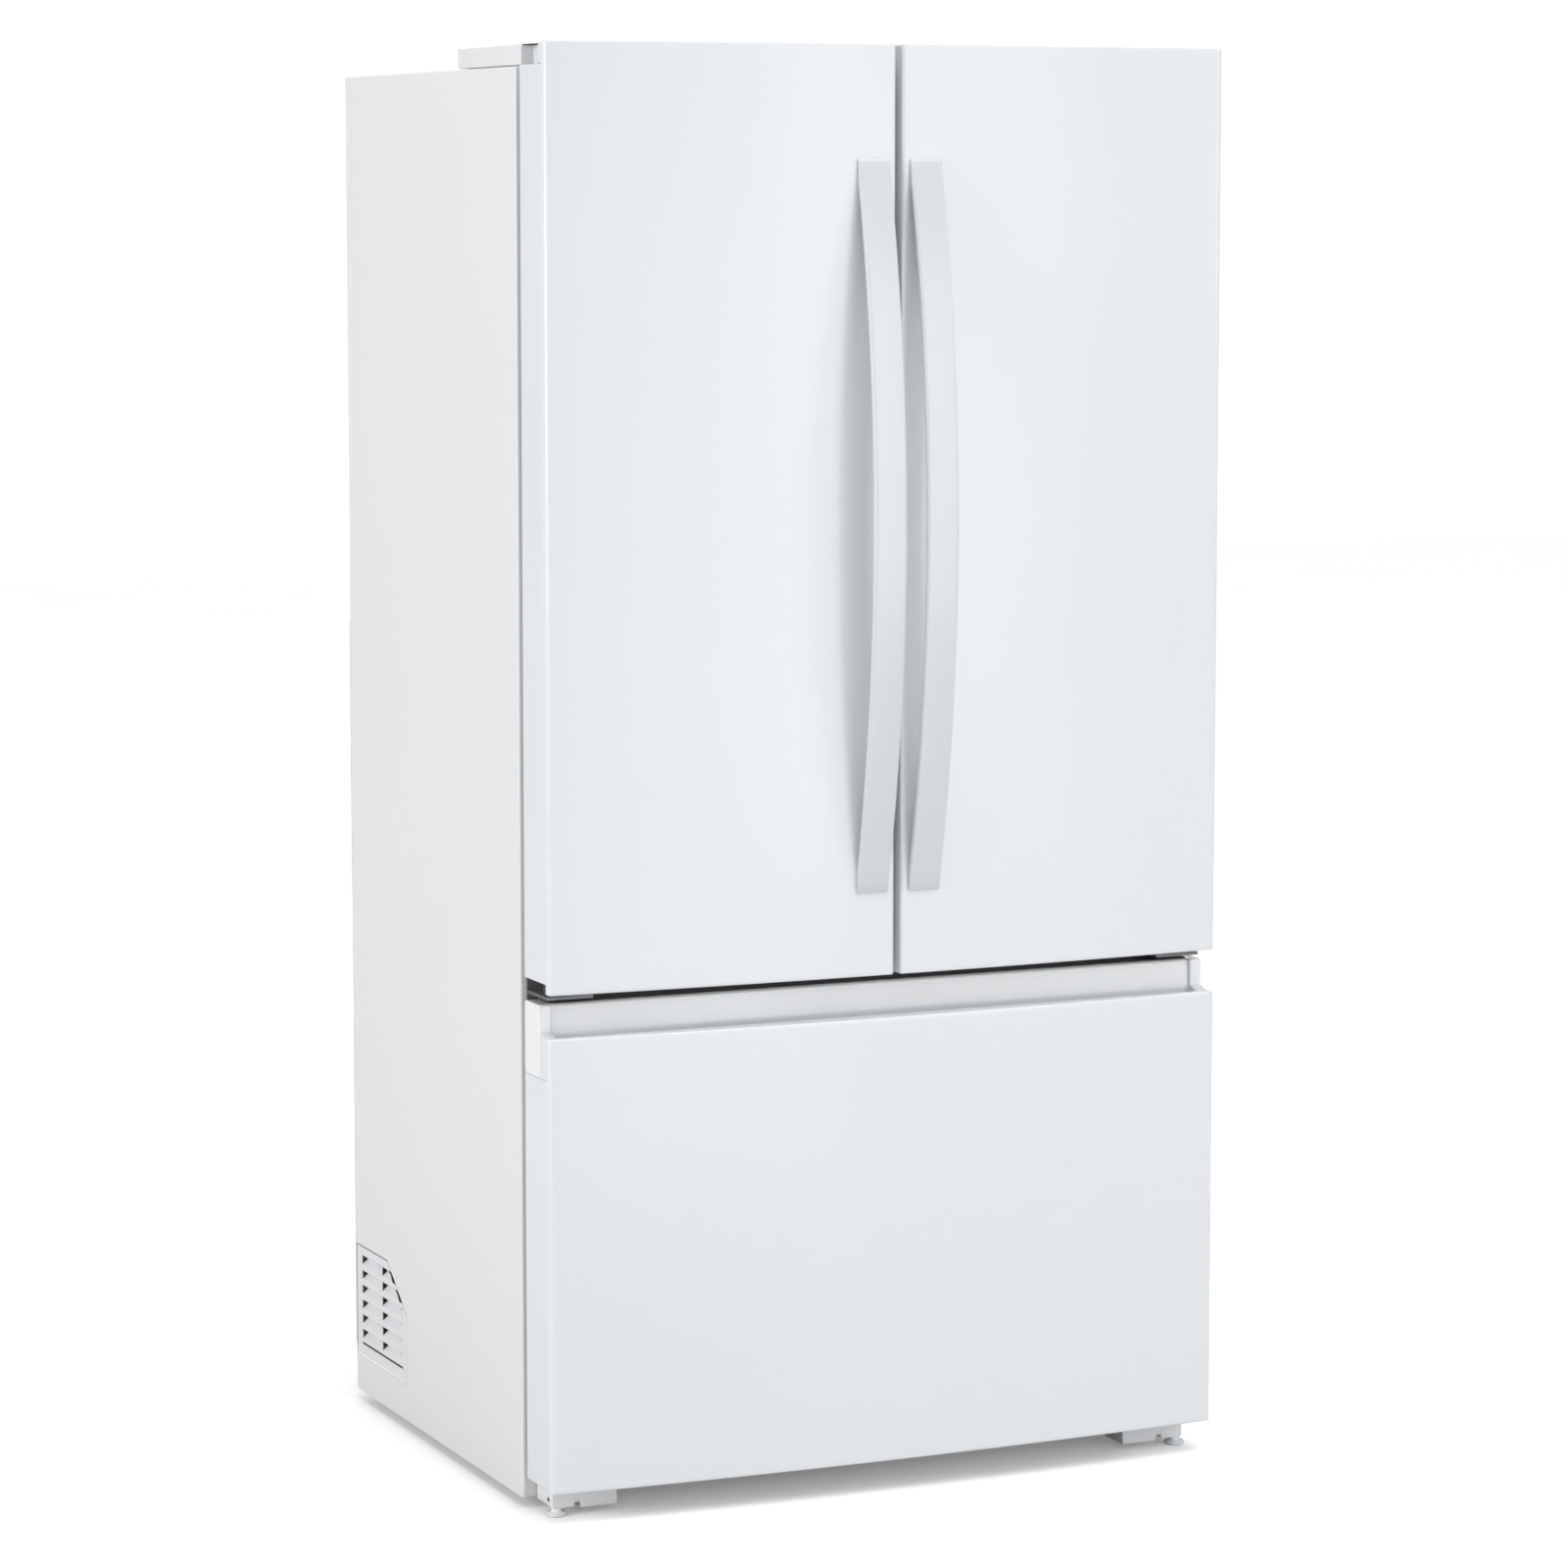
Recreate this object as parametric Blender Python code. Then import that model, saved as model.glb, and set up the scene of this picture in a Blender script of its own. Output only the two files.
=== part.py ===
"""French door refrigerator: two doors over a freezer drawer. Metres, +Z up, front towards -Y.

The origin is on the floor at the centre of the whole object's footprint.
"""

import math

import bmesh
import bpy
from mathutils import Matrix, Vector

# Driving dimensions
HALF_WIDTH = 0.4535
HALF_DEPTH = 0.3995
TOTAL_HEIGHT = 1.784
SHEET = 0.0010
GAP = 0.0003

# Cabinet
CABINET_FRONT = -0.2310
CABINET_REAR = 0.3855
CABINET_BOTTOM = 0.0130
CABINET_TOP = 1.7560
OPENING_HALF_WIDTH = 0.4115
CABINET_SKIN_INSIDE = HALF_WIDTH - SHEET

# Compartments
LINER_WALL = 0.0020
FRESH_HALF_WIDTH = 0.4038
FRESH_FLOOR = 0.7000
FRESH_CEILING = 1.7010
FRESH_REAR = 0.3000
FREEZER_HALF_WIDTH = 0.3920
FREEZER_FLOOR = 0.1120
FREEZER_CEILING = 0.6000
FREEZER_STEP = 0.3450
FREEZER_LOW_REAR = 0.1120
LINER_FRONT = -0.2290
MACHINE_ROOM_FRONT = 0.1500
MACHINE_ROOM_TOP = 0.3100

# Front: a shallow arc seen from above, set forward most at the middle
FRONT_EDGE = -0.3275
FRONT_BULGE = 0.0160
LIP_REAR = -0.3045
DOOR_REAR = -0.2445
DOOR_SKIN = 0.0012
FRONT_CORNER = 0.0060
INNER_CORNER = 0.0040

# Upper doors
DOOR_GAP_HALF = 0.0045
DOOR_BOTTOM = 0.6500
DOOR_BODY_BOTTOM = 0.6620
DOOR_BODY_TOP = 1.7570
HINGE_X = 0.4315
HINGE_Y = -0.2875
HINGE_PIN_RADIUS = 0.0050
HINGE_HOLE_RADIUS = 0.0065

# Freezer drawer front
DRAWER_BOTTOM = 0.0390
DRAWER_PANEL_TOP = 0.5970
DRAWER_TOP = 0.6340
PULL_WALL_FRONT = -0.2905
PULL_LIP = 0.0120
PULL_BOTTOM = 0.5450
PULL_HALF_WIDTH = 0.4370

# Handles
HANDLE_LOW = 0.7530
HANDLE_HIGH = 1.6470
HANDLE_NEAR = 0.0140
HANDLE_FAR = 0.0560
HANDLE_END = 0.0040
HANDLE_THICKNESS = 0.0100
HANDLE_STEPS = 20

# Gaskets
GASKET_FRONT = DOOR_REAR + GAP
GASKET_REAR = -0.2318
GASKET_WIDTH = 0.0150

# Feet and rollers
FOOT_X = 0.4280
FOOT_Y = -0.2775
FOOT_RADIUS = 0.0125
ROLLER_RADIUS = 0.0250
ROLLER_X = 0.3700
ROLLER_Y = 0.3300
ROLLER_HALF_WIDTH = 0.0110

# Side vents
VENT_FRONT = 0.1875
VENT_REAR = 0.3840
VENT_BOTTOM = 0.0610
VENT_TOP = 0.2110
VENT_DEPTH = 0.0100

# Shelves, crispers, bins
SHELF_FRONT = -0.1250
SHELF_REAR = 0.2850
SHELF_THICKNESS = 0.0060
CRISPER_FRONT = -0.0750
CRISPER_TOP = 0.9700
BIN_REAR = -0.1500
BIN_SPAN = (0.0760, 0.3770)
BIN_HEIGHTS = (("upper", 1.2500, 1.3600), ("lower", 0.7600, 0.9000))
SHELF_HEIGHTS = {"left": (1.4300, 1.1900), "right": (1.3800, 1.1400)}
TRAY_WALL = 0.0030

# Rear panel: a sheet, and a raised field with rows of air slots
BACK_SHEET_FRONT = 0.3840
BACK_SHEET_REAR = 0.3852
FIELD_FRONT = 0.3858
FIELD_BOTTOM = 0.0670
FIELD_TOP = 1.0530
AIR_COLUMNS = (-0.27, -0.09, 0.09, 0.27)
AIR_ROWS = 5
AIR_LOWEST = 0.1050
AIR_PITCH = 0.0320
AIR_HALF_LENGTH = 0.0650
AIR_HEIGHT = 0.0110

# Inner door sheet: the raised dike and the storage well inside it
DIKE_LOW = (0.0550, -0.2470, 0.7120)
DIKE_HIGH = (0.3980, -0.1900, 1.6900)
WELL_LOW = (0.0740, -0.2450, 0.7280)
WELL_HIGH = (0.3790, -0.1000, 1.6740)
DIKE_WALL = 0.0030

# Hinge covers
COVER_TOP = 1.7820
COVER_ROOF = 0.0020
COVER_NOSE_RADIUS = 0.0135

# Machine room
COMPRESSOR = (0.2350, 0.2620)
CONDENSER_FAN = (0.0600, 0.2650, 0.1650)
EVAPORATOR_FAN = (0.0, 0.2520, 0.4750)
FAN_BORE_RADIUS = 0.0790

MULLION_PIVOT = (-0.0410, -0.2190, 0.0)

COLOURS = {
    "white_enamel": ((0.83, 0.84, 0.85), 0.35, 0.0),
    "grey_plastic": ((0.42, 0.43, 0.44), 0.5, 0.0),
    "white_plastic": ((0.80, 0.81, 0.82), 0.45, 0.0),
    "clear_plastic": ((0.72, 0.80, 0.86), 0.15, 0.0),
    "steel": ((0.55, 0.56, 0.57), 0.35, 1.0),
    "rubber_grey": ((0.60, 0.60, 0.60), 0.7, 0.0),
    "black_metal": ((0.03, 0.03, 0.03), 0.45, 0.0),
    "copper": ((0.70, 0.36, 0.22), 0.3, 1.0),
    "foam": ((0.85, 0.78, 0.55), 0.9, 0.0),
    "glass": ((0.75, 0.88, 0.86), 0.08, 0.0),
    "dark_plastic": ((0.08, 0.08, 0.09), 0.55, 0.0),
}

AXES = {"x": 0, "y": 1, "z": 2}
SIDES = (("left", -1), ("right", 1))


def clear_scene():
    for obj in list(bpy.data.objects):
        bpy.data.objects.remove(obj, do_unlink=True)


def material_for(name, finish):
    colour, roughness, metallic = COLOURS[finish]
    material = bpy.data.materials.new(name + "_" + finish)
    material.use_nodes = True
    shader = material.node_tree.nodes["Principled BSDF"]
    shader.inputs["Base Color"].default_value = (*colour, 1.0)
    shader.inputs["Roughness"].default_value = roughness
    shader.inputs["Metallic"].default_value = metallic
    return material


def add_node(name, bm, finish, pivot=None, smooth=False):
    """Turns a bmesh into a named object, with its origin on its pivot where it has one."""
    bmesh.ops.recalc_face_normals(bm, faces=bm.faces)
    if pivot is not None:
        bmesh.ops.translate(bm, verts=bm.verts, vec=-Vector(pivot))
    mesh = bpy.data.meshes.new(name)
    bm.to_mesh(mesh)
    bm.free()
    obj = bpy.data.objects.new(name, mesh)
    if pivot is not None:
        obj.location = pivot
    bpy.context.scene.collection.objects.link(obj)
    mesh.materials.append(material_for(name, finish))
    if smooth:
        mesh.shade_smooth()
        mesh.set_sharp_from_angle(angle=math.radians(35))
    return obj


def box(low, high, bevel=0.0, segments=1):
    bm = bmesh.new()
    size = [h - l for l, h in zip(low, high)]
    centre = [(h + l) / 2 for l, h in zip(low, high)]
    place = Matrix.Translation(centre) @ Matrix.Diagonal((*size, 1.0))
    bmesh.ops.create_cube(bm, size=1.0, matrix=place)
    if bevel:
        bmesh.ops.bevel(bm, geom=bm.edges[:], offset=bevel, segments=segments, affect="EDGES", profile=0.5)
    return bm


def prism(outline, axis, start, end):
    """Extrudes an outline of (first, second) coordinates, in X, Y, Z order, along the third axis."""
    index = AXES[axis]
    bm = bmesh.new()
    verts = []
    for first, second in outline:
        point = [first, second]
        point.insert(index, start)
        verts.append(bm.verts.new(point))
    face = bm.faces.new(verts)
    grown = bmesh.ops.extrude_face_region(bm, geom=[face])
    move = [0.0, 0.0, 0.0]
    move[index] = end - start
    moved = [v for v in grown["geom"] if isinstance(v, bmesh.types.BMVert)]
    bmesh.ops.translate(bm, verts=moved, vec=move)
    return bm


def cylinder(centre, radius, axis, start, end, sides=24):
    """A cylinder about a line along the axis, through the centre's two other coordinates."""
    outline = []
    for step in range(sides):
        angle = 2 * math.pi * (step + 0.5) / sides
        outline.append((centre[0] + radius * math.cos(angle), centre[1] + radius * math.sin(angle)))
    return prism(outline, axis, start, end)


def helper(bm, name):
    """A hidden object that cuts or joins."""
    obj = add_node(name, bm, "steel")
    obj.hide_render = True
    obj.display_type = "WIRE"
    return obj


def boolean(obj, bm, operation="DIFFERENCE"):
    count = len(obj.modifiers)
    other = helper(bm, f"{operation.lower()}_{count}_{obj.name}")
    modifier = obj.modifiers.new(f"{operation.lower()}_{count}", "BOOLEAN")
    modifier.operation = operation
    modifier.solver = "EXACT"
    modifier.object = other


def cut(obj, *tools):
    for bm in tools:
        boolean(obj, bm)


def join(obj, *tools):
    for bm in tools:
        boolean(obj, bm, "UNION")


def shift_to(obj, pivot):
    """Moves an object's origin to its pivot and leaves its shape where it is."""
    obj.data.transform(Matrix.Translation(-Vector(pivot)))
    obj.location = pivot


def front_y(x):
    """The front surface seen from above: a parabola through both outer edges."""
    return FRONT_EDGE - FRONT_BULGE * (1.0 - (x / HALF_WIDTH) ** 2)


def front_outline(low_x, high_x, rear, inset=0.0, left_round=FRONT_CORNER, right_round=FRONT_CORNER):
    """The plan of a panel behind the front arc, its two front corners rounded."""
    low, high = low_x + inset, high_x - inset
    outline = [(high, rear), (low, rear)]
    for step in range(4):
        turn = math.radians(90 * step / 3)
        x = low + left_round * (1 - math.cos(turn))
        outline.append((x, front_y(x) + inset + left_round * (1 - math.sin(turn))))
    arc_low, arc_high = low + left_round, high - right_round
    steps = max(6, round(14 * (high - low) / (2 * HALF_WIDTH)))
    for step in range(1, steps):
        x = arc_low + (arc_high - arc_low) * step / steps
        outline.append((x, front_y(x) + inset))
    for step in range(4):
        turn = math.radians(90 * (3 - step) / 3)
        x = high - right_round * (1 - math.cos(turn))
        outline.append((x, front_y(x) + inset + right_round * (1 - math.sin(turn))))
    return outline


# Cabinet


def build_cabinet_shell():
    """One bent steel wrapper: two sides, a top and a front flange all round the openings."""
    low = (-HALF_WIDTH, CABINET_FRONT, CABINET_BOTTOM)
    shell = add_node("cabinet_shell", box(low, (HALF_WIDTH, CABINET_REAR, CABINET_TOP)), "white_enamel")
    inside = CABINET_SKIN_INSIDE
    cut(
        shell,
        box((-inside, CABINET_FRONT + SHEET, -0.1), (inside, 0.5, CABINET_TOP - SHEET)),
        box((-OPENING_HALF_WIDTH, -0.3, -0.1), (OPENING_HALF_WIDTH, -0.2, CABINET_TOP - 0.044)),
        box((-inside, -0.3, -0.1), (inside, -0.2, 0.0385)),
    )
    for side in (-1, 1):
        cut(shell, vent_prism(side, -GAP, 0.02))
    return shell


def vent_outline(grow):
    """The vent's edge in (y, z): a plate with its upper front corner cut away."""
    return [
        (VENT_FRONT - grow, VENT_BOTTOM - grow),
        (VENT_REAR + grow, VENT_BOTTOM - grow),
        (VENT_REAR + grow, VENT_TOP + grow),
        (VENT_FRONT + 0.0750 - grow / 2, VENT_TOP + grow),
        (VENT_FRONT - grow, VENT_BOTTOM + 0.0910 + grow / 2),
    ]


def vent_prism(side, grow, depth, outside=0.01):
    outer, inner = side * (HALF_WIDTH + outside), side * (HALF_WIDTH - depth)
    return prism(vent_outline(-grow), "x", min(outer, inner), max(outer, inner))


def build_side_vent(name, side):
    """A plate flush with the cabinet side, with two columns of slots that drop towards the rear."""
    vent = add_node(name, vent_prism(side, 0.0, VENT_DEPTH, 0.0), "white_plastic")
    slots = bmesh.new()
    rear_column = (VENT_REAR - 0.0970, VENT_REAR - 0.0260, 6)
    front_column = (VENT_FRONT + 0.0180, VENT_REAR - 0.1090, 4)
    for low_y, high_y, rows in (rear_column, front_column):
        for row in range(rows):
            z = VENT_BOTTOM + 0.0180 + row * 0.0200
            merge(slots, box((-0.6, low_y, z), (0.6, high_y, z + 0.0090)))
    cut(vent, slots)
    return vent


def merge(target, source):
    """Adds the source's separate body to the target and frees the source."""
    mesh = bpy.data.meshes.new("loose")
    source.to_mesh(mesh)
    source.free()
    target.from_mesh(mesh)
    bpy.data.meshes.remove(mesh)


def build_back_panel():
    """A steel sheet that closes the rear, with a raised field stamped into its lower part."""
    sheet = box((-0.4520, BACK_SHEET_FRONT, 0.0600), (0.4520, BACK_SHEET_REAR, 1.7545))
    panel = add_node("back_panel", sheet, "steel")
    field = box((-HALF_WIDTH, FIELD_FRONT, FIELD_BOTTOM), (HALF_WIDTH, HALF_DEPTH, FIELD_TOP))
    web = box((-0.4510, 0.3846, FIELD_BOTTOM + 0.001), (0.4510, 0.3866, FIELD_TOP - 0.001))
    join(panel, field, web)
    behind = HALF_DEPTH - SHEET
    cut(panel, box((-0.4490, 0.3700, FIELD_BOTTOM + 0.0030), (0.4490, behind, FIELD_TOP - 0.0030)))
    slots = bmesh.new()
    for column in AIR_COLUMNS:
        for row in range(AIR_ROWS):
            low, high = column - AIR_HALF_LENGTH, column + AIR_HALF_LENGTH
            z = AIR_LOWEST + AIR_PITCH * row
            merge(slots, box((low, 0.39, z), (high, 0.41, z + AIR_HEIGHT)))
    cut(panel, slots)
    return panel


def build_foam():
    """The insulation between the wrapper and both liners, cut away for the machine room."""
    foam = add_node("foam_insulation", box((-0.4515, -0.2284, 0.0750), (0.4515, 0.3835, 1.7540)), "foam")
    grow = LINER_WALL + 0.0006
    cut(
        foam,
        box(
            (-FRESH_HALF_WIDTH - grow, -0.3, FRESH_FLOOR - grow),
            (FRESH_HALF_WIDTH + grow, FRESH_REAR + grow, FRESH_CEILING + grow),
        ),
        freezer_block(grow, -0.3),
        box((-0.5, MACHINE_ROOM_FRONT, 0.0), (0.5, 0.5, MACHINE_ROOM_TOP)),
    )
    return foam


def freezer_block(grow, front):
    """The stepped freezer space, deeper above the machine room."""
    outline = [
        (front, FREEZER_FLOOR - grow),
        (FREEZER_LOW_REAR + grow, FREEZER_FLOOR - grow),
        (FREEZER_LOW_REAR + grow, FREEZER_STEP - grow),
        (FRESH_REAR + grow, FREEZER_STEP - grow),
        (FRESH_REAR + grow, FREEZER_CEILING + grow),
        (front, FREEZER_CEILING + grow),
    ]
    return prism(outline, "x", -FREEZER_HALF_WIDTH - grow, FREEZER_HALF_WIDTH + grow)


def build_liners():
    wall = LINER_WALL
    fresh = box(
        (-FRESH_HALF_WIDTH - wall, LINER_FRONT, FRESH_FLOOR - wall),
        (FRESH_HALF_WIDTH + wall, FRESH_REAR + wall, FRESH_CEILING + wall),
    )
    liner = add_node("fresh_liner", fresh, "white_plastic")
    cut(liner, box((-FRESH_HALF_WIDTH, -0.3, FRESH_FLOOR), (FRESH_HALF_WIDTH, FRESH_REAR, FRESH_CEILING)))
    freezer = add_node("freezer_liner", freezer_block(wall, LINER_FRONT), "white_plastic")
    cut(freezer, freezer_block(0.0, -0.3))


def build_front_rails():
    """The rail between the compartments and the base pan with its front upstand and leg tongues."""
    rail = box((-0.4110, CABINET_FRONT, 0.6060), (0.4110, -0.2294, 0.6940))
    add_node("cross_rail", rail, "white_enamel")
    upstand = [
        (CABINET_FRONT, 0.0132), (0.3830, 0.0132), (0.3830, 0.0156),
        (-0.2294, 0.0156), (-0.2294, 0.1080), (CABINET_FRONT, 0.1080),
    ]
    base = add_node("base_plate", prism(upstand, "x", -0.4110, 0.4110), "steel")
    join(base, box((-0.4518, -0.2280, 0.0134), (0.4518, 0.3826, 0.0154)))
    for side in (-1, 1):
        tongue = mirrored_box((0.3560, -0.2780, 0.0132), (0.4310, -0.2000, 0.0156), side)
        hole = cylinder((side * FOOT_X, FOOT_Y), 0.0052, "z", 0.0, 0.05, 16)
        slot_low = (ROLLER_X - 0.015, ROLLER_Y - 0.027, 0.0)
        slot_high = (ROLLER_X + 0.015, ROLLER_Y + 0.027, 0.05)
        slot = mirrored_box(slot_low, slot_high, side)
        join(base, tongue)
        cut(base, hole, slot)


def mirrored_box(low, high, side, bevel=0.0):
    """A box given for the right side, or its mirror image on the left."""
    if side > 0:
        return box(low, high, bevel)
    return box((-high[0], low[1], low[2]), (-low[0], high[1], high[2]), bevel)


def build_top_hinge(word, side):
    """A steel plate on the cabinet top with a pin down into the door."""
    plate = mirrored_box((0.3600, -0.2960, 1.7585), (0.4270, -0.0900, 1.7625), side)
    hinge = add_node(word + "_top_hinge", plate, "steel")
    axis = (side * HINGE_X, HINGE_Y)
    join(
        hinge,
        cylinder(axis, 0.0095, "z", 1.7585, 1.7625),
        cylinder(axis, HINGE_PIN_RADIUS, "z", 1.7350, 1.7600),
        mirrored_box((0.3620, -0.2240, CABINET_TOP + GAP), (0.4260, -0.0920, 1.7600), side),
    )


def build_hinge_cover(word, side):
    """A hollow cap over the hinge, its nose round the pin so that the door lip swings past."""
    nose = []
    for step in range(7):
        angle = math.radians(90 + 30 * step)
        x = -HINGE_X + COVER_NOSE_RADIUS * math.cos(angle)
        nose.append((x, HINGE_Y + COVER_NOSE_RADIUS * math.sin(angle)))
    over_door = [(-0.3400, -0.2200), (-0.4290, -0.2200), (-0.4290, -0.2700)] + nose[1:]
    over_door += [(-0.3460, -0.3010), (-0.3400, -0.2950)]
    on_cabinet = [
        (-0.3360, -0.0165), (-0.3420, -0.0105), (-0.4395, -0.0105), (-0.4455, -0.0165),
        (-0.4455, -0.2270), (-0.4420, -0.2300), (-0.3360, -0.2300),
    ]

    def placed(points):
        return [(-x * side, y) for x, y in points]

    rear_part = prism(placed(on_cabinet), "z", CABINET_TOP + GAP, COVER_TOP)
    cover = add_node(word + "_hinge_cover", rear_part, "white_plastic")
    join(cover, prism(placed(over_door), "z", 1.7575, COVER_TOP))
    roof = COVER_TOP - COVER_ROOF
    cut(
        cover,
        mirrored_box((0.3425, -0.2275, 1.7), (0.4430, -0.0130, roof), side),
        mirrored_box((0.3431, -0.2985, 1.7), (0.4275, -0.2200, roof - GAP), side),
        cylinder((side * HINGE_X, HINGE_Y), 0.0110, "z", 1.7, roof - 2 * GAP, 20),
    )


def build_center_hinge(word, side):
    """A bracket on the cabinet front with a pin up into the door's lower end."""
    plate = mirrored_box((0.3850, -0.2990, 0.6400), (0.4450, -0.2320, 0.6440), side)
    hinge = add_node(word + "_center_hinge", plate, "steel")
    join(
        hinge,
        mirrored_box((0.3850, -0.2345, 0.6320), (0.4450, -0.2313, 0.6690), side),
        cylinder((side * HINGE_X, HINGE_Y), HINGE_PIN_RADIUS, "z", 0.6420, 0.6850),
        cylinder((side * HINGE_X, HINGE_Y), 0.0090, "z", 0.6420, 0.6480),
    )


def build_foot(word, side):
    """A white cover over the leg tongue, and the screw foot that stands through it."""
    low, high = (0.3500, -0.2835, 0.0062), (0.4360, -0.2320, 0.0370)
    cover = add_node(word + "_foot_cover", mirrored_box(low, high, side, 0.0030), "white_enamel")
    inner = mirrored_box((0.3520, -0.2815, 0.0), (0.4340, -0.2, 0.0350), side)
    notch = mirrored_box((0.3990, -0.3, 0.0), (0.4060, -0.27, 0.0150), side)
    cut(cover, inner, notch)
    pivot = (side * FOOT_X, FOOT_Y, 0.0)
    disc = cylinder(pivot, FOOT_RADIUS, "z", 0.0, 0.0055, 24)
    foot = add_node(word + "_leveling_foot", disc, "grey_plastic")
    join(foot, cylinder(pivot, 0.0035, "z", 0.0040, 0.0330, 12))
    shift_to(foot, pivot)


def build_roller(word, side):
    """A rear wheel with a stub axle and a bored hub face."""
    centre = (ROLLER_Y, ROLLER_RADIUS)
    middle = side * ROLLER_X
    wheel = cylinder(centre, ROLLER_RADIUS, "x", middle - ROLLER_HALF_WIDTH, middle + ROLLER_HALF_WIDTH, 32)
    roller = add_node(word + "_roller", wheel, "dark_plastic", smooth=True)
    join(roller, cylinder(centre, 0.0060, "x", middle - 0.0140, middle + 0.0140, 16))
    shift_to(roller, (middle, ROLLER_Y, ROLLER_RADIUS))


# Machine room and cooling


def build_compressor():
    """A welded pot with a domed lid on four short legs."""
    x, y = COMPRESSOR
    dome = [(0.0, 0.1950), (0.0350, 0.1900), (0.0600, 0.1750), (0.0720, 0.1500), (0.0740, 0.1180)]
    rim = [(0.0780, 0.1150), (0.0780, 0.1080), (0.0720, 0.1050)]
    pot = [(0.0690, 0.0500), (0.0450, 0.0340), (0.0, 0.0330)]
    profile = dome + rim + pot
    bm = turned(profile, (x, y), 20)
    compressor = add_node("compressor", bm, "black_metal", smooth=True)
    plate = box((x - 0.0850, y - 0.0600, 0.0360), (x + 0.0850, y + 0.0600, 0.0400))
    left_mount = box((x - 0.0850, y - 0.0600, 0.0160), (x - 0.0550, y + 0.0600, 0.0380))
    right_mount = box((x + 0.0550, y - 0.0600, 0.0160), (x + 0.0850, y + 0.0600, 0.0380))
    join(compressor, plate, left_mount, right_mount)


def turned(profile, centre, sides):
    """A profile of (radius, z) turned about a vertical line; its ends lie on the line."""
    bm = bmesh.new()
    rings = []
    for radius, z in profile:
        if radius == 0.0:
            rings.append([bm.verts.new((centre[0], centre[1], z))])
            continue
        ring = []
        for step in range(sides):
            angle = 2 * math.pi * step / sides
            x, y = centre[0] + radius * math.cos(angle), centre[1] + radius * math.sin(angle)
            ring.append(bm.verts.new((x, y, z)))
        rings.append(ring)
    for upper, lower in zip(rings, rings[1:]):
        for step in range(sides):
            after = (step + 1) % sides
            if len(upper) == 1:
                bm.faces.new((upper[0], lower[step], lower[after]))
            elif len(lower) == 1:
                bm.faces.new((upper[step], lower[0], upper[after]))
            else:
                bm.faces.new((upper[step], lower[step], lower[after], upper[after]))
    return bm


def serpentine(name, low, high, rows, depth_y, radius, finish):
    """One tube that runs to and fro along X, climbing in Z, with half-round bends."""
    pitch = (high[1] - low[1]) / (rows - 1)
    points = []
    for row in range(rows):
        z = low[1] + row * pitch
        ends = (low[0], high[0]) if row % 2 == 0 else (high[0], low[0])
        points.append((ends[0], depth_y, z))
        points.append((ends[1], depth_y, z))
        if row == rows - 1:
            continue
        outward = 1 if row % 2 == 0 else -1
        for step in range(1, 6):
            angle = math.pi * step / 6
            x = ends[1] + outward * pitch / 2 * math.sin(angle)
            points.append((x, depth_y, z + pitch / 2 * (1 - math.cos(angle))))
    curve = bpy.data.curves.new(name, "CURVE")
    curve.dimensions = "3D"
    curve.bevel_depth = radius
    curve.bevel_resolution = 1
    curve.use_fill_caps = True
    spline = curve.splines.new("POLY")
    spline.points.add(len(points) - 1)
    for place, point in zip(spline.points, points):
        place.co = (*point, 1.0)
    obj = bpy.data.objects.new(name, curve)
    bpy.context.scene.collection.objects.link(obj)
    curve.materials.append(material_for(name, finish))
    return obj


def fan(name, centre, axis, radius, depth, hub, blades, finish):
    """A hub with flat blades set at a pitch, about the axis line through the centre."""
    bm = bmesh.new()
    index = AXES[axis]
    for blade in range(blades):
        angle = 2 * math.pi * blade / blades
        paddle = box((hub * 0.6, -depth * 0.10, -radius * 0.28), (radius, depth * 0.10, radius * 0.28))
        bmesh.ops.rotate(paddle, verts=paddle.verts, matrix=Matrix.Rotation(math.radians(28), 3, "X"))
        bmesh.ops.rotate(paddle, verts=paddle.verts, matrix=Matrix.Rotation(angle, 3, "Y"))
        if axis == "x":
            bmesh.ops.rotate(paddle, verts=paddle.verts, matrix=Matrix.Rotation(math.radians(-90), 3, "Z"))
        bmesh.ops.translate(paddle, verts=paddle.verts, vec=centre)
        merge(bm, paddle)
    others = [centre[i] for i in range(3) if i != index]
    half = depth / 2
    body = cylinder(others, hub, axis, centre[index] - half, centre[index] + half, 20)
    obj = add_node(name, body, finish)
    join(obj, bm)
    shift_to(obj, centre)
    return obj


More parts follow.
